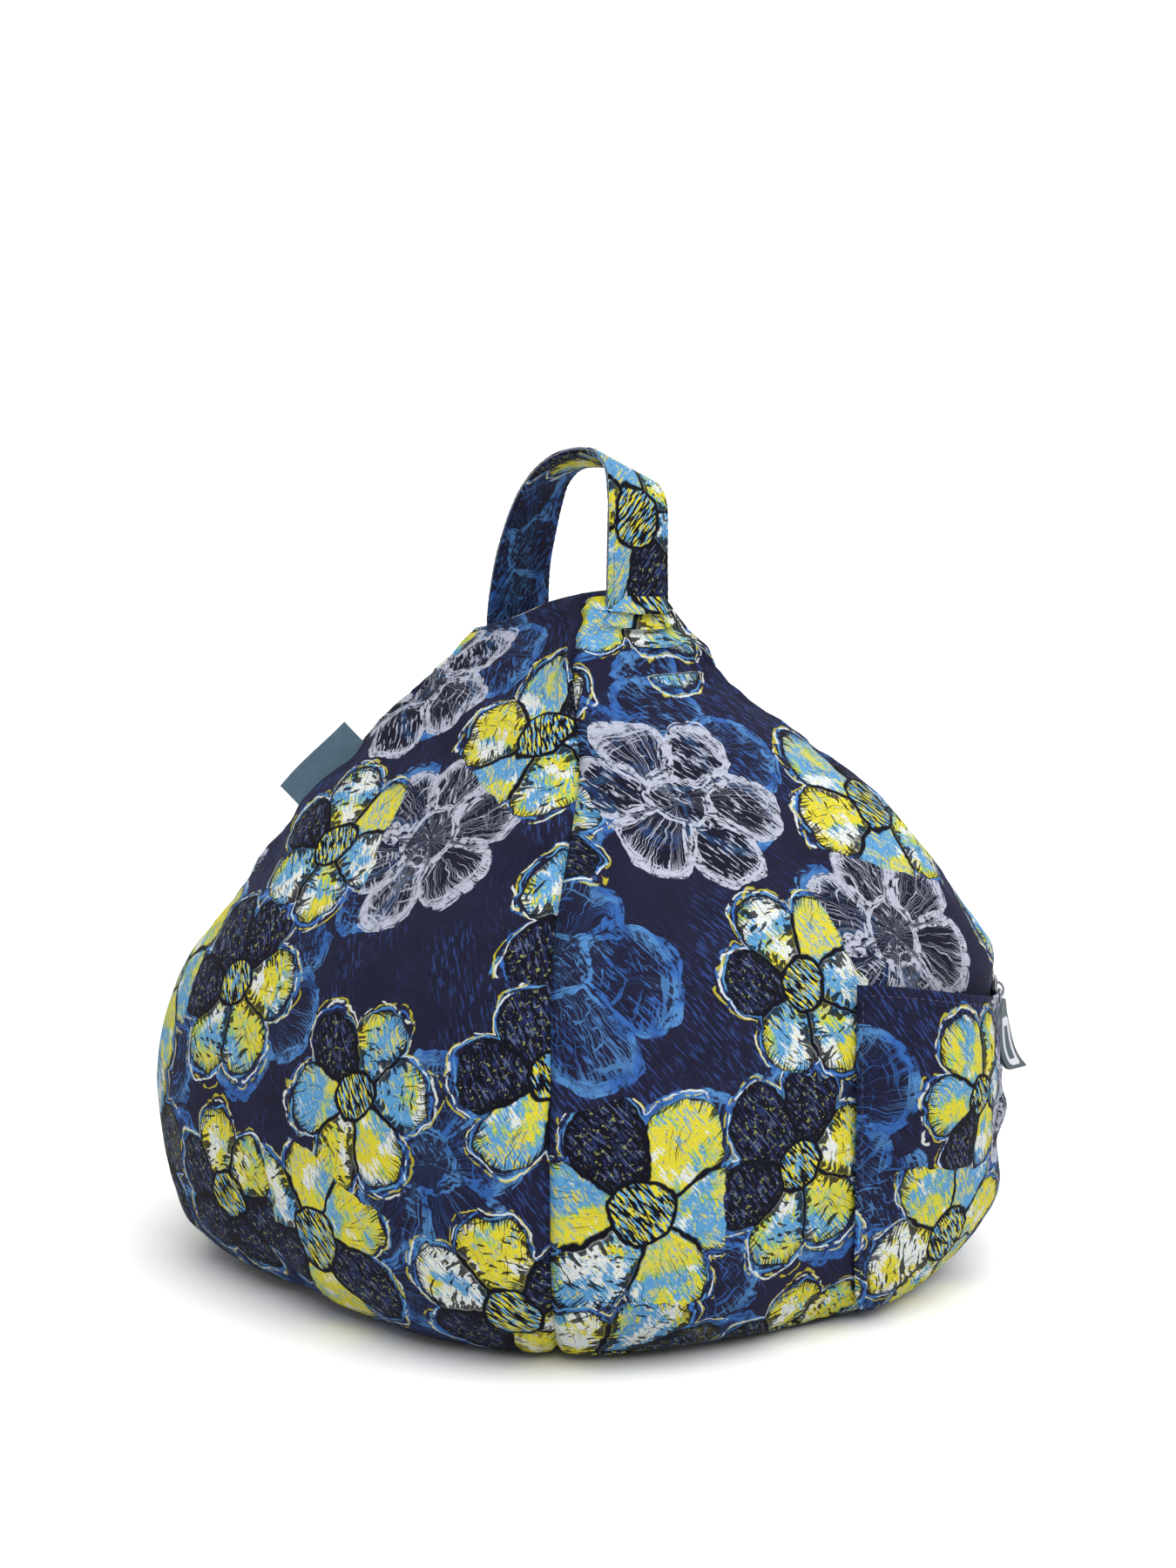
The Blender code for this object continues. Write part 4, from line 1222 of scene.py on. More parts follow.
# ------------------------------------------------------------ print cloth
def bloom(t, p, spacing, shift, petals, size, rand=.62, tip=2.6):
    """Sketched round flower in each cell of a loose lattice."""
    q = t.vec("ADD", p, (shift[0], shift[1], 0))
    v = t.voronoi(q, 1 / spacing, rand)
    r1, r2, r3 = t.sep(v["Color"])
    lx, ly, _ = t.sep(t.vec("SUBTRACT", q, v["Position"]))
    r = t.vec("LENGTH", t.comb(lx, ly, 0.0))
    turn = t.f("FRACT", t.math("ARCTAN2", ly, lx) * (1 / (2 * pi)) + r2
               + 2.0)
    k = turn * float(petals)
    ident = t.f("FLOOR", k)
    a = t.f("ABSOLUTE", t.f("FRACT", k) - .5) * 2.0
    rad = size * (r3 * .30 + .84)
    rout = rad * (1.0 - .30 * (a ** tip))
    rin = rad * .25
    side = (1.0 - a) * r * (pi / petals)
    d = t.math("MINIMUM", rout - r, side - .0007)
    d = t.math("MINIMUM", d, r - rin - .0012)
    own = t.white(t.comb(ident, r1 * 97.0, r3 * 53.0))
    return dict(r=r, a=a, rad=rad, side=side, petal=d, heart=rin - r,
                kind=r1, extra=r3, own=own, turn=turn, outer=rout - r)


def strokes(t, b, along, across, seed):
    """Hatching that follows the flower: along and across in strokes."""
    v = t.comb(b["r"] * along, b["turn"] * across + seed, b["kind"] * 31.0)
    return t.noise(v, 1.0, 2.0, .6, dims="3D")


def print_material():
    t = Tree("cover_print")
    uv = t.uv("print")
    w1 = t.noise(uv, 30.0, 2.0, color=True)
    w2 = t.noise(uv, 170.0, 2.0, color=True)
    p = t.vec("ADD", uv, t.vec("SCALE", t.vec("SUBTRACT", w1, (.5, .5, .5)),
                               scale=.0095))
    p = t.vec("ADD", p, t.vec("SCALE", t.vec("SUBTRACT", w2, (.5, .5, .5)),
                              scale=.0026))
    fine = t.noise(uv, 760.0, 2.0, .6)
    mid = t.noise(uv, 240.0, 3.0, .62)
    big = t.noise(uv, 62.0, 2.0, .5)
    u_, v_, _ = t.sep(uv)
    # pencil strokes in two slanted directions
    lean1 = t.noise(t.comb(u_ * .80 + v_ * .60, (v_ * .80 - u_ * .60) * .16,
                           .0), 900.0, 2.0, .6)
    lean2 = t.noise(t.comb((u_ * .71 - v_ * .71) * .15, u_ * .71 + v_ * .71,
                           3.0), 980.0, 2.0, .6)

    ink = rgb(12, 12, 23)
    yellow = rgb(212, 200, 46)
    sky = rgb(88, 150, 198)
    lime = rgb(142, 184, 88)
    pale = rgb(214, 219, 216)
    blue = rgb(54, 104, 178)
    chalk = rgb(186, 190, 206)

    # ground: navy with faint tone and blue scribble
    ground = t.mix(big, rgb(22, 22, 41), rgb(32, 32, 57))
    zone = t.noise(uv, 15.0, 2.0, .5)
    rub = t.step(lean1, .53, .66) * t.step(zone, .47, .60)
    ground = t.mix(rub * .55, ground, rgb(52, 78, 142))
    rub2 = t.step(lean2, .57, .66) * t.step(zone, .50, .38)
    ground = t.mix(rub2 * .40, ground, rgb(42, 58, 112))

    def scribble(b, seed, width=.00026, spread_=.0075, count=4):
        """Several loose outlines of the petals, as one mask."""
        total = None
        for i in range(count):
            off = (t.noise(uv, 34.0 + 8 * i + seed, 1.0) - .5) * spread_
            edge = t.f("ABSOLUTE", b["petal"] + off - .0005 * i)
            ln = t.step(edge, width * 2.2, width * .7)
            total = ln if total is None else t.math("MAXIMUM", total, ln)
        for i in range(count):
            rim = t.f("ABSOLUTE", b["outer"] - .0011 * i + .0006
                      + (t.noise(uv, 46.0 + seed + 7 * i, 1.0) - .5)
                      * spread_ * .9)
            total = t.math("MAXIMUM", total,
                           t.step(rim, width * 2.4, width * .7))
        return total * t.step(mid, .36, .52)

    def chalked(b, seed, near, out):
        """Hatching, close near the rim and thin inside the petals."""
        h1 = strokes(t, b, 30.0, 430.0, seed)
        h2 = strokes(t, b, 620.0, 14.0, seed + 4.0)
        rimward = t.step(b["outer"], .0110, .0005)
        cut = rimward * (near - out) + out
        s1 = t.step(h1 - cut, -.02, .03)
        s2 = t.step(h2 - cut - .02, -.02, .03)
        s3 = t.step(lean1 - cut - .02, -.02, .03)
        inside = t.step(b["outer"], -.0012, .0006)
        q1, q2, _ = t.sep(b["own"])
        total = t.math("MAXIMUM", s1 * t.step(q2, .75, .60),
                       s2 * t.step(q1, .30, .45))
        return t.math("MAXIMUM", total, s3 * t.step(q2, .45, .60)) * inside

    # far layer: blue chalk flowers
    b3 = bloom(t, p, .088, (.031, .047), 5, .043, .80)
    on3 = t.step(b3["kind"], .12, .13)
    m3 = t.math("MAXIMUM", scribble(b3, 3.0, .00030),
                chalked(b3, 7.0, .50, .60) * .70)
    far = t.mix(t.step(big, .44, .60), blue, rgb(84, 140, 200))
    col = t.mix(m3 * on3 * .78, ground, far)

    # near layer: white chalk or coloured flowers
    b1 = bloom(t, p, .0770, (.0, .0), 6, .0392, .50)
    inside1 = t.step(b1["outer"], -.0004, .0004)
    is_color = t.step(b1["kind"], .340, .345)
    is_chalk = t.step(b1["kind"], .190, .185)

    white_mask = t.math("MAXIMUM", scribble(b1, 11.0, .00028, .0062, 5),
                        chalked(b1, 19.0, .47, .60) * .85)
    dark_in = t.mix(inside1 * is_chalk * .75, col, rgb(18, 18, 33))
    col = t.mix(white_mask * is_chalk * .88, dark_in, chalk)

    # brushed patches of colour in the petals, with ragged edges
    o1, o2, o3 = t.sep(b1["own"])
    n1 = t.noise(uv, 50.0, 2.0, .55) + (lean1 - .5) * .46 \
        + (o1 - .5) * .26
    n2 = t.noise(t.vec("ADD", uv, (3.1, 1.7, 0)), 58.0, 2.0, .55) \
        + (lean2 - .5) * .46 + (o2 - .5) * .22
    paint = t.mix(t.step(n1, .47, .53), yellow, sky)
    shore = t.step(t.f("ABSOLUTE", n1 - .50), .065, .025)
    paint = t.mix(shore * t.step(lean2, .42, .54) * .85, paint, lime)
    paint = t.mix(t.step(n2, .555, .625), paint, pale)
    paint = t.mix(t.step(n2, .39, .35) * t.step(lean1, .47, .53) * .8,
                  paint, t.mix(t.step(n1, .44, .48), sky, yellow))
    # stray flecks of the other colours, and uneven ink
    fleck = t.noise(uv, 520.0, 2.0, .62)
    paint = t.mix(t.step(fleck, .655, .69) * .85, paint, yellow)
    paint = t.mix(t.step(fleck, .335, .30) * .75, paint,
                  rgb(74, 124, 168))
    wear = t.noise(uv, 1500.0, 2.0, .6)
    paint = t.mix(t.step(wear, .46, .30) * .40, paint, rgb(60, 84, 110))
    # some petals stay dark, rubbed with blue and scratched
    dark_petal = t.step(o3, .30, .28)
    d1 = t.step(lean1, .52, .62) * .70
    d2 = t.step(lean2, .58, .64) * .55
    night = t.mix(d1, rgb(15, 15, 28), rgb(38, 50, 98))
    night = t.mix(d2, night, rgb(98, 112, 150))
    night = t.mix(t.step(fleck, .64, .68) * .7, night, rgb(150, 156, 90))
    paint = t.mix(dark_petal, paint, night)
    petal_in = t.step(b1["petal"], -.0001, .0007)
    heart_in = t.step(b1["heart"], .0000, .0006)
    heart = t.mix(t.step(lean2, .47, .54), ink,
                  t.mix(t.step(lean1, .47, .53), sky, yellow))
    flower = t.mix(petal_in, ink, paint)
    flower = t.mix(heart_in, flower, heart)
    # ink hatching off the dividing lines, and a loose outline
    comb_ = t.noise(t.comb(b1["r"] * 640.0, b1["turn"] * 26.0,
                           b1["kind"] * 13.0), 1.0, 1.0, dims="3D")
    near_side = t.step(b1["side"], .0066, .0008)
    hatch = t.step(comb_ + near_side * .22, .61, .65) * t.step(o2, .25, .30)
    flower = t.mix(hatch * petal_in * .92, flower, ink)
    comb2 = t.noise(t.comb(b1["r"] * 60.0, b1["turn"] * 330.0, 3.0), 1.0,
                    1.0, dims="3D")
    rimink = t.step(comb2 + t.step(b1["outer"], .007, .0) * .20, .65, .69)
    flower = t.mix(rimink * petal_in * .85, flower, ink)
    for i, w in ((0, .00075), (1, .00035), (2, .00035)):
        off = (t.noise(uv, 60.0 + 13 * i, 1.0) - .5) * .0042 * i
        outline = t.step(t.f("ABSOLUTE", b1["outer"] + off + .0002),
                         w * 1.5, w * .7)
        flower = t.mix(outline * .85, flower, ink)
    col = t.mix(inside1 * is_color, col, flower)
    # loose blue and pale strokes round the coloured flowers
    outside = t.step(b1["outer"], .0004, -.0002)
    for i, tint in ((0, sky), (1, blue), (2, pale), (3, yellow)):
        ring = t.f("ABSOLUTE", b1["outer"] + .0012 + .0007 * i
                   + (t.noise(uv, 41.0 + 9 * i, 1.0) - .5) * .0085)
        ring = t.step(ring, .00065, .00025) * t.step(
            t.noise(uv, 150.0 + 31 * i, 2.0), .40, .50)
        col = t.mix(ring * outside * is_color * (.85 if i < 3 else .6),
                    col, tint)

    # worn thread tone and weave
    w = weave(t, uv)
    col = t.mix(w * .18 + fine * .12, col, (0, 0, 0, 1))
    rough = t.ramp(fine, .3, .7, .80, .94)
    normal = t.bump(w * .55 + fine * .45, .55, .00022)
    return t.finish(col, rough, normal, Sheen_Weight=.012,
                    Sheen_Roughness=.5, Specular_IOR_Level=.09)


def cloth_material(name, dark, light, pitch=1500.0, rough=.9, bump=.0002):
    """Plain woven cloth that needs no flat coordinates."""
    t = Tree(name)
    o = t.obj()
    x, y, z = t.sep(o)
    k = 2 * pi * pitch
    wob = t.noise(o, 400.0, 1.0, dims="3D")
    h = t.math("SINE", (x + y) * k + wob) * t.math("SINE", (z + x - y) * k
                                                   + wob)
    tone = t.noise(o, 60.0, 3.0, .6, dims="3D")
    fibre = t.noise(o, 1800.0, 2.0, .6, dims="3D")
    col = t.mix(tone * .6 + h * .2 + fibre * .2, dark, light)
    return t.finish(col, t.ramp(fibre, .3, .7, rough - .08, rough + .05),
                    t.bump(h * .5 + fibre, .6, bump),
                    Sheen_Weight=.05, Specular_IOR_Level=.2)


def thread_material():
    t = Tree("thread")
    o = t.obj()
    h = t.noise(o, 2600.0, 2.0, .6, dims="3D")
    tone = t.noise(o, 90.0, 1.0, dims="3D")
    col = t.mix(tone, rgb(38, 40, 64), rgb(60, 63, 92))
    col = t.mix(h * .3, col, rgb(20, 20, 32))
    return t.finish(col, t.ramp(h, .3, .7, .55, .75),
                    t.bump(h, .5, .00008), Sheen_Weight=.1)


def tape_material():
    t = Tree("zip_tape")
    o = t.obj()
    x, y, z = t.sep(o)
    across = (y - x) * .7071
    rib = t.math("SINE", across * (2 * pi / .00075))
    rows = t.math("SINE", z * (2 * pi / .00055) + across * 2400.0)
    fibre = t.noise(o, 2200.0, 2.0, .6, dims="3D")
    h = rib * .5 + rows * .35 + fibre * .4
    col = t.mix(h * .35 + .4, rgb(18, 18, 30), rgb(46, 46, 68))
    return t.finish(col, t.ramp(fibre, .3, .7, .78, .92),
                    t.bump(h, .7, .00018), Sheen_Weight=.08)


def plastic_material():
    t = Tree("zip_plastic")
    o = t.obj()
    grain = t.noise(o, 1500.0, 3.0, .6, dims="3D")
    tone = t.noise(o, 130.0, 2.0, dims="3D")
    worn = t.step(t.pointy(), .52, .60)
    col = t.mix(tone, rgb(30, 31, 44), rgb(44, 45, 60))
    col = t.mix(worn * .35, col, rgb(96, 98, 112))
    return t.finish(col, t.ramp(grain, .3, .7, .34, .52),
                    t.bump(grain, .25, .00005))


def metal_material(name, dark, light):
    t = Tree(name)
    o = t.obj()
    fine = t.noise(o, 2400.0, 3.0, .65, dims="3D")
    tone = t.noise(o, 220.0, 2.0, dims="3D")
    worn = t.step(t.pointy(), .53, .62)
    col = t.mix(tone, dark, light)
    col = t.mix(worn * .5, col, rgb(168, 170, 174))
    return t.finish(col, t.ramp(fine, .3, .7, .26, .44),
                    t.bump(fine, .2, .00004), Metallic=1.0)


def rubber_material():
    t = Tree("pull_rubber")
    o = t.obj()
    grain = t.noise(o, 1900.0, 3.0, .6, dims="3D")
    tone = t.noise(o, 140.0, 3.0, dims="3D")
    worn = t.step(t.pointy(), .52, .60)
    col = t.mix(tone, rgb(56, 67, 73), rgb(78, 89, 97))
    col = t.mix(worn * .3, col, rgb(128, 136, 142))
    return t.finish(col, t.ramp(grain, .3, .7, .48, .66),
                    t.bump(grain, .35, .00006), Specular_IOR_Level=.4)


def inlay_material():
    t = Tree("pull_inlay")
    o = t.obj()
    grain = t.noise(o, 1600.0, 2.0, .6, dims="3D")
    tone = t.noise(o, 260.0, 3.0, dims="3D")
    col = t.mix(tone, rgb(176, 177, 184), rgb(198, 199, 205))
    return t.finish(col, t.ramp(grain, .3, .7, .42, .56),
                    t.bump(grain, .2, .00004))


def label_material():
    t = Tree("label_weave")
    uv = t.uv("print")
    x, y, _ = t.sep(uv)
    wob = t.noise(uv, 700.0, 1.0)
    twill = t.math("SINE", (x + y * .9) * (2 * pi / .00042) + wob)
    rib = t.math("SINE", y * (2 * pi / .00030))
    h = twill * .6 + rib * .4
    tone = t.noise(uv, 240.0, 3.0, .6)
    col = t.mix(tone * .7 + h * .15, rgb(50, 78, 94), rgb(84, 112, 128))
    return t.finish(col, t.ramp(tone, .3, .7, .52, .68),
                    t.bump(h, .5, .00012), Sheen_Weight=.10)


def liner_material():
    t = Tree("liner_cloth")
    o = t.obj()
    fibres = t.noise(o, 900.0, 4.0, .7, dims="3D", warp=1.5)
    cells = t.voronoi(o, 620.0, .2, dims="3D")
    tone = t.noise(o, 40.0, 2.0, dims="3D")
    col = t.mix(fibres * .5 + tone * .5, rgb(206, 206, 200),
                rgb(232, 232, 226))
    return t.finish(col, t.ramp(fibres, .3, .7, .82, .95),
                    t.bump(fibres * .6 + cells["Distance"], .5, .0003))


def hook_material():
    t = Tree("closure_tape")
    o = t.obj()
    cells = t.voronoi(o, 900.0, .5, dims="3D")
    fuzz = t.noise(o, 1700.0, 3.0, .7, dims="3D")
    col = t.mix(cells["Distance"] * .6 + fuzz * .4, rgb(110, 112, 118),
                rgb(176, 178, 184))
    return t.finish(col, t.ramp(fuzz, .3, .7, .85, .97),
                    t.bump(cells["Distance"] + fuzz * .6, .8, .0006),
                    Sheen_Weight=.2)


def bead_material():
    t = Tree("beads")
    o = t.obj()
    cells = t.voronoi(o, 270.0, 1.0, dims="3D")
    r1, _, _ = t.sep(cells["Color"])
    skin = t.noise(o, 2200.0, 2.0, dims="3D")
    col = t.mix(r1, rgb(226, 226, 220), rgb(244, 244, 240))
    # painted shade: the gaps between neighbouring beads are darkened towards
    # grey in the colour
    col = t.mix(t.step(cells["Distance"], .42, .70) * .7, col,
                rgb(120, 120, 118))
    return t.finish(col, t.ramp(skin, .3, .7, .55, .75),
                    t.bump(cells["Distance"] * -1.0, 1.0, .0016),
                    Subsurface_Weight=.1)


PRINT = print_material()
CANVAS = cloth_material("base_cloth", rgb(30, 31, 50), rgb(48, 50, 76))
THREAD = thread_material()
build_cover(PRINT)
build_pocket(PRINT, THREAD)
build_strap(PRINT, THREAD)


# ------------------------------------------------------------------- base
def build_base():
    """Canvas disc on the floor, with its seam allowance turned up."""
    n = 180
    rings = []
    row = Row(.0004)
    for k, (inset, z) in enumerate(((.0012, .0016), (.0012, .0006),
                                    (.0020, .0001), (.0034, .0000),
                                    (.0060, .0000), (.0090, .0002),
                                    (.0120, .0000), (.0300, .0000),
                                    (.0600, .0000))):
        ring = []
        for i in range(n):
            t = 2 * pi * i / n
            r = row.radius(t) - inset
            wob = .0001 * (1 + noise.noise(Vector((r * 40 * cos(t),
                                                   r * 40 * sin(t), k))))
            up = sum(h * lobe(t, a, w) for a, h, w in LIFT) \
                * (1 - smooth(0, .034, inset - .0012))
            ring.append((r * cos(t), r * sin(t), z + up
                         + (wob if z == 0 else 0)))
        rings.append(ring)
    verts = [p for r in rings for p in r]
    faces = [tuple(reversed(f)) for f in
             grid_faces(n, len(rings) - 1, wrap=True)]
    base = len(verts)
    verts.append((0, 0, .00005))
    last = (len(rings) - 1) * n
    for i in range(n):
        faces.append((last + (i + 1) % n, last + i, base))
    # upper face
    top = len(verts)
    verts += [(x * .998, y * .998, z + .0009)
              for x, y, z in verts[:base + 1]]
    faces += [tuple(reversed([k + top for k in f])) for f in faces]
    for i in range(n):
        j = (i + 1) % n
        faces.append((i, j, top + j, top + i))
    obj = add_mesh("base_cloth", verts, faces, CANVAS, sharp=60)
    tidy(obj)
    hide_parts("base_panel")
    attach(obj, "cover")
    area = 0.0
    for i in range(720):
        r = row.radius(2 * pi * i / 720)
        area += .5 * r * r * 2 * pi / 720
    round(min(area * 1.03, .252 * .244), 5)


build_base()


# ------------------------------------------------------------------ label
def build_label():
    """Folded woven tab, caught in the seam and gently bent."""
    z0, z1 = .1817, .2080
    r0, r1 = Row(z0), Row(z1)
    a0, a1 = -(pi - r0.corner), -(pi - r1.corner)
    p0, p1 = r0.point(a0), r1.point(a1)
    along = (p1 - p0).normalized()
    mid = (a0 + a1) / 2
    radial = Vector((cos(mid), sin(mid), 0))
    out = (radial - along * radial.dot(along)).normalized()
    side = along.cross(out).normalized()
    length = (p1 - p0).length
    nu, nw = 26, 10
    tall, rad = .0118, .00031
    # the cloth's middle line: up one face, round the fold, down the other
    loop = [(lerp(-.0024, tall - rad, k / nw), -rad) for k in range(nw + 1)]
    loop += [(tall - rad + rad * cos(radians(f)), rad * sin(radians(f)))
             for f in (-60, -30, 0, 30, 60)]
    loop += [(lerp(tall - rad, -.0024, k / nw), rad) for k in range(nw + 1)]
    arc = [0.0]
    for p, q in zip(loop, loop[1:]):
        arc.append(arc[-1] + sqrt((p[0] - q[0]) ** 2 + (p[1] - q[1]) ** 2))
    g = np.zeros((nu + 1, len(loop), 3))
    st = np.zeros((nu + 1, len(loop), 2))
    for i in range(nu + 1):
        row = Row(lerp(z0, z1, i / nu))
        base = row.point(-(pi - row.corner))
        for k, (w, h) in enumerate(loop):
            f = max(0.0, w / tall)
            bend = .0012 * f * f * sin(pi * i / nu * .9 + .4) - .0006 * f
            curl = .0005 * f * (2 * i / nu - 1) ** 2
            wob = .00008 * noise.noise(Vector((i * .35, w * 300, 2.0)))
            g[i, k] = base + out * w + side * (h + bend + curl + wob)
            st[i, k] = (length * i / nu, arc[k])
    n = grid_normals(g)
    verts, faces = closed_shell(g + n * .00017, g - n * .00017)
    uv = st.reshape(-1, 2)
    obj = add_mesh("label_cloth", verts, faces, label_material(),
                   uv=np.concatenate([uv, uv]), sharp=60)
    tidy(obj)
    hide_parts("label_tab")
    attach(obj, "cover")


build_label()


# ------------------------------------------------------------------- pull
PIVOT = Vector((.1182609, .1182609, .1120715))
ZX = Vector((-.7071068, .7071068, 0))
ZN = Vector((.70648, .70648, .04207))
ZU = Vector((-.0297466, -.0297466, .9991147))
TAB_LEN, TAB_W, TAB_T = .0270, .0098, .0024
TAB_TOP = -.0056


def pull_point(a, h, k):
    """Point of the bent and turned tab: a across, h out, k down 0..1."""
    up = 1 - smooth(-.05, .03, k)
    turn = radians(20 - 12 * up + 27 * smooth(0, 1, k))
    w = ZX * cos(turn) + ZN * sin(turn)
    m = ZN * cos(turn) - ZX * sin(turn)
    mid = PIVOT + ZU * (TAB_TOP - (TAB_LEN - .0006) * k) \
        + ZN * (.0002 + .0005 * up + .0014 * k + .0046 * abs(k) ** 5) \
        - ZX * .0006 * k
    p = mid + w * a + m * h
    # the back of the neck stays clear of the slider's face
    clear = lerp(-.00086, -.0040, smooth(-.016, .05, k))
    low = (p - PIVOT).dot(ZN)
    return p + ZN * (clear - low) if low < clear else p


def build_pull():
    n = 60
    # a narrower neck, moulded round the link, then the tab
    neck = .066
    ks = [-neck, -.063, -.055, -.044, -.032, -.018, -.006, .010, .025] \
        + [lerp(.04, .965, i / n) for i in range(n + 1)] \
        + [.982, .994, 1.0]
    verts = []
    for k in ks:
        half = TAB_W / 2 * (.66 + .12 * smooth(-.040, .030, k)
                            + .22 * smooth(0, .30, k)) \
            * (1 + .10 * smooth(.75, 1, k))
        th = TAB_T / 2 * (1 + .30 * (1 - smooth(-.02, .18, k)))
        end = min(k + neck, (1 - k) * 1.4) * TAB_LEN
        pull_in = .0009 * (1 - sqrt(clamp(1 - (1 - min(end, .0010) / .0010)
                                          ** 2)))
        half -= pull_in * 1.3
        th -= pull_in * .8
        soft = .0006
        ring = []
        for cx, cy, a0 in ((1, 1, 0), (-1, 1, 90), (-1, -1, 180),
                           (1, -1, 270)):
            for f in (0, 22, 45, 68, 90):
                g = radians(a0 + f)
                ring.append((cx * (half - soft) + soft * cos(g),
                             cy * (th - soft) + soft * sin(g)))
            if cy == 1 and cx == 1:
                ring += [(half * .5, th), (0, th), (-half * .5, th)]
            if cy == -1 and cx == -1:
                ring += [(-half * .5, -th), (0, -th), (half * .5, -th)]
        verts += [pull_point(a, h, k) for a, h in ring]
    m = len(verts) // len(ks)
    faces = [tuple(reversed(f)) for f in
             grid_faces(m, len(ks) - 1, wrap=True)]
    faces.append(tuple(range(m)))
    last = (len(ks) - 1) * m
    faces.append(tuple(last + i for i in reversed(range(m))))
    tab = add_mesh("pull_rubber", verts, faces, rubber_material(), sharp=50)
    tidy(tab)
    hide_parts("pull_tab")
    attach(tab, "pull")

    # the pale ring let into its outer face
    def outline(hw, hl, r, shift):
        pts = []
        for cx, cy, a0 in ((1, -1, 270), (1, 1, 0), (-1, 1, 90),
                           (-1, -1, 180)):
            for f in range(0, 91, 15):
                g = radians(a0 + f)
                pts.append((cx * (hw - r) + r * cos(g),
                            cy * (hl - r) + r * sin(g) + shift))
        # long sides get steps of their own so that they follow the bend
        out = []
        for i, p in enumerate(pts):
            q = pts[(i + 1) % len(pts)]
            out.append(p)
            d = sqrt((p[0] - q[0]) ** 2 + (p[1] - q[1]) ** 2)
            if i % 7 == 6:
                steps = 5 if abs(p[1] - q[1]) < 1e-6 else 16
                out += [(lerp(p[0], q[0], j / steps),
                         lerp(p[1], q[1], j / steps))
                        for j in range(1, steps)]
        return out

    big = outline(.0029, .0099, .0015, 0)
    small = outline(.0015, .0068, .0006, .0006)
    top = TAB_T / 2
    rows = []
    for pts_a, pts_b in ((big, small),):
        for f, h in ((0, -.0003), (0, .0001), (.06, .00032), (.25, .00040),
                     (.75, .00040), (.94, .00032), (1, .0001),
                     (1, -.0003)):
            rows.append([(lerp(a[0], b[0], f), lerp(a[1], b[1], f), h)
                         for a, b in zip(pts_a, pts_b)])
    rv = []
    for row in rows:
        for a, l, h in row:
            k = .575 + l / TAB_LEN
            rv.append(pull_point(a, top + h, k))
    m = len(big)
    faces = grid_faces(m, len(rows) - 1, wrap=True)
    for i in range(m):
        j = (i + 1) % m
        b = (len(rows) - 1) * m
        faces.append((b + i, b + j, j, i))
    ring = add_mesh("pull_inlay", rv, faces, inlay_material(), sharp=40)
    tidy(ring)
    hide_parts("pull_tab_ring")
    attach(ring, "pull")


build_pull()


# --------------------------------------------- finishes of the kept nodes
def refinish(name, mat, bevel=0.0, subdiv=0):
    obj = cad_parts[name]
    obj.data.materials.clear()
    obj.data.materials.append(mat)
    if bevel:
        mod = obj.modifiers.new("edges", "BEVEL")
        mod.width = bevel
        mod.segments = 2
        mod.limit_method = "ANGLE"
        mod.angle_limit = radians(35)
    return obj


TAPE, PLASTIC = tape_material(), plastic_material()
ZINC = metal_material("zip_metal", rgb(92, 96, 104), rgb(126, 130, 138))
WIRE = metal_material("pull_wire", rgb(104, 108, 116), rgb(140, 144, 152))
for end in ("left", "right"):
    refinish("zip_tape_" + end, TAPE)
    refinish("zip_teeth_" + end, PLASTIC, .00012)
    refinish("zip_top_stop_" + end, ZINC)
refinish("zip_bottom_stop", ZINC)
refinish("zip_slider", ZINC, .00015)
refinish("pull_link", WIRE)
refinish("inner_liner", liner_material())
refinish("liner_closure", hook_material())
refinish("bead_fill", bead_material())


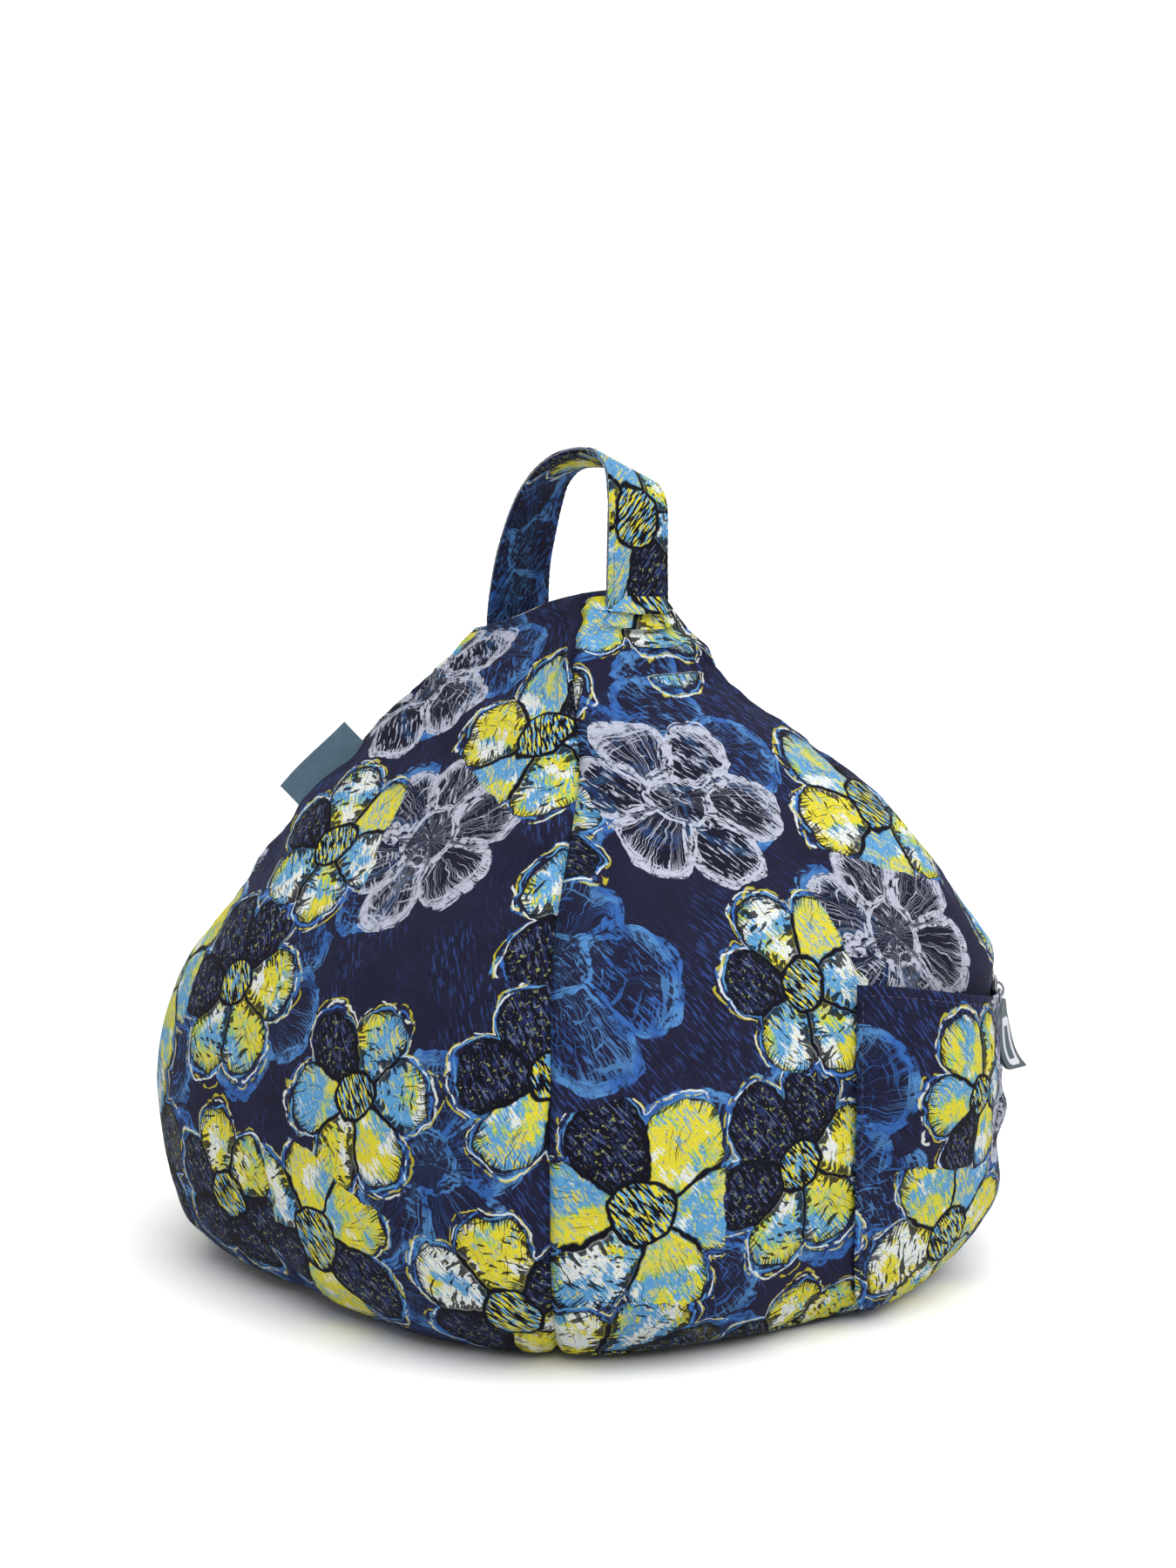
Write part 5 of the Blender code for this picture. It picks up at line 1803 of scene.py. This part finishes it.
# -------------------------------------------------------------- the stage
def make_stage():
    floor = add_mesh("floor", [(-30, -30, 0), (30, -30, 0), (30, 30, 0),
                               (-30, 30, 0)], [(0, 1, 2, 3)], [], sharp=0)
    t = Tree("floor")
    tone = t.noise(t.obj(), 3.0, 2.0, dims="3D")
    t.finish(t.mix(tone, (.87, .87, .87, 1), (.90, .90, .90, 1)),
             Roughness=.9, Specular_IOR_Level=.0)
    floor.data.materials.append(t.mat)
    # white backdrop behind the object, dimmer studio all round
    world = bpy.data.worlds.new("studio")
    world.use_nodes = True
    wt = world.node_tree
    bg = wt.nodes["Background"]
    coord = wt.nodes.new("ShaderNodeTexCoord")
    dot = wt.nodes.new("ShaderNodeVectorMath")
    dot.operation = "DOT_PRODUCT"
    dot.inputs[1].default_value = (-.766, .643, 0)
    wt.links.new(coord.outputs["Generated"], dot.inputs[0])
    ramp = wt.nodes.new("ShaderNodeMapRange")
    ramp.interpolation_type = "SMOOTHSTEP"
    for sock, v in zip(ramp.inputs[1:5], (.36, .80, .46, 1.15)):
        sock.default_value = v
    wt.links.new(dot.outputs["Value"], ramp.inputs[0])
    wt.links.new(ramp.outputs[0], bg.inputs[1])
    bg.inputs[0].default_value = (1, 1, 1, 1)
    scene.world = world

    sun = bpy.data.lights.new("softbox", "SUN")
    sun.energy = 3.8
    sun.angle = radians(75)
    obj = bpy.data.objects.new("softbox", sun)
    # from above, a little to the right of the view and in front
    at = Vector((.62, -.10, 1.35))
    obj.rotation_euler = (-at).to_track_quat("-Z", "Y").to_euler()
    scene.collection.objects.link(obj)

    cam = bpy.data.cameras.new("camera")
    obj = bpy.data.objects.new("camera", cam)
    a, e, dist = radians(50), radians(8), 1.1
    back = Vector((sin(a) * cos(e), -cos(a) * cos(e), sin(e)))
    right = Vector((cos(a), sin(a), 0))
    aim = Vector((0, 0, .193)) + right * (6 / 3150 * dist)
    obj.location = aim + back * dist
    obj.rotation_euler = (-back).to_track_quat("-Z", "Y").to_euler()
    cam.lens = 3150 / 1800 * 36
    cam.sensor_width = 36
    cam.clip_start, cam.clip_end = .02, 100
    scene.collection.objects.link(obj)
    scene.camera = obj
    scene.view_settings.view_transform = "Standard"


make_stage()
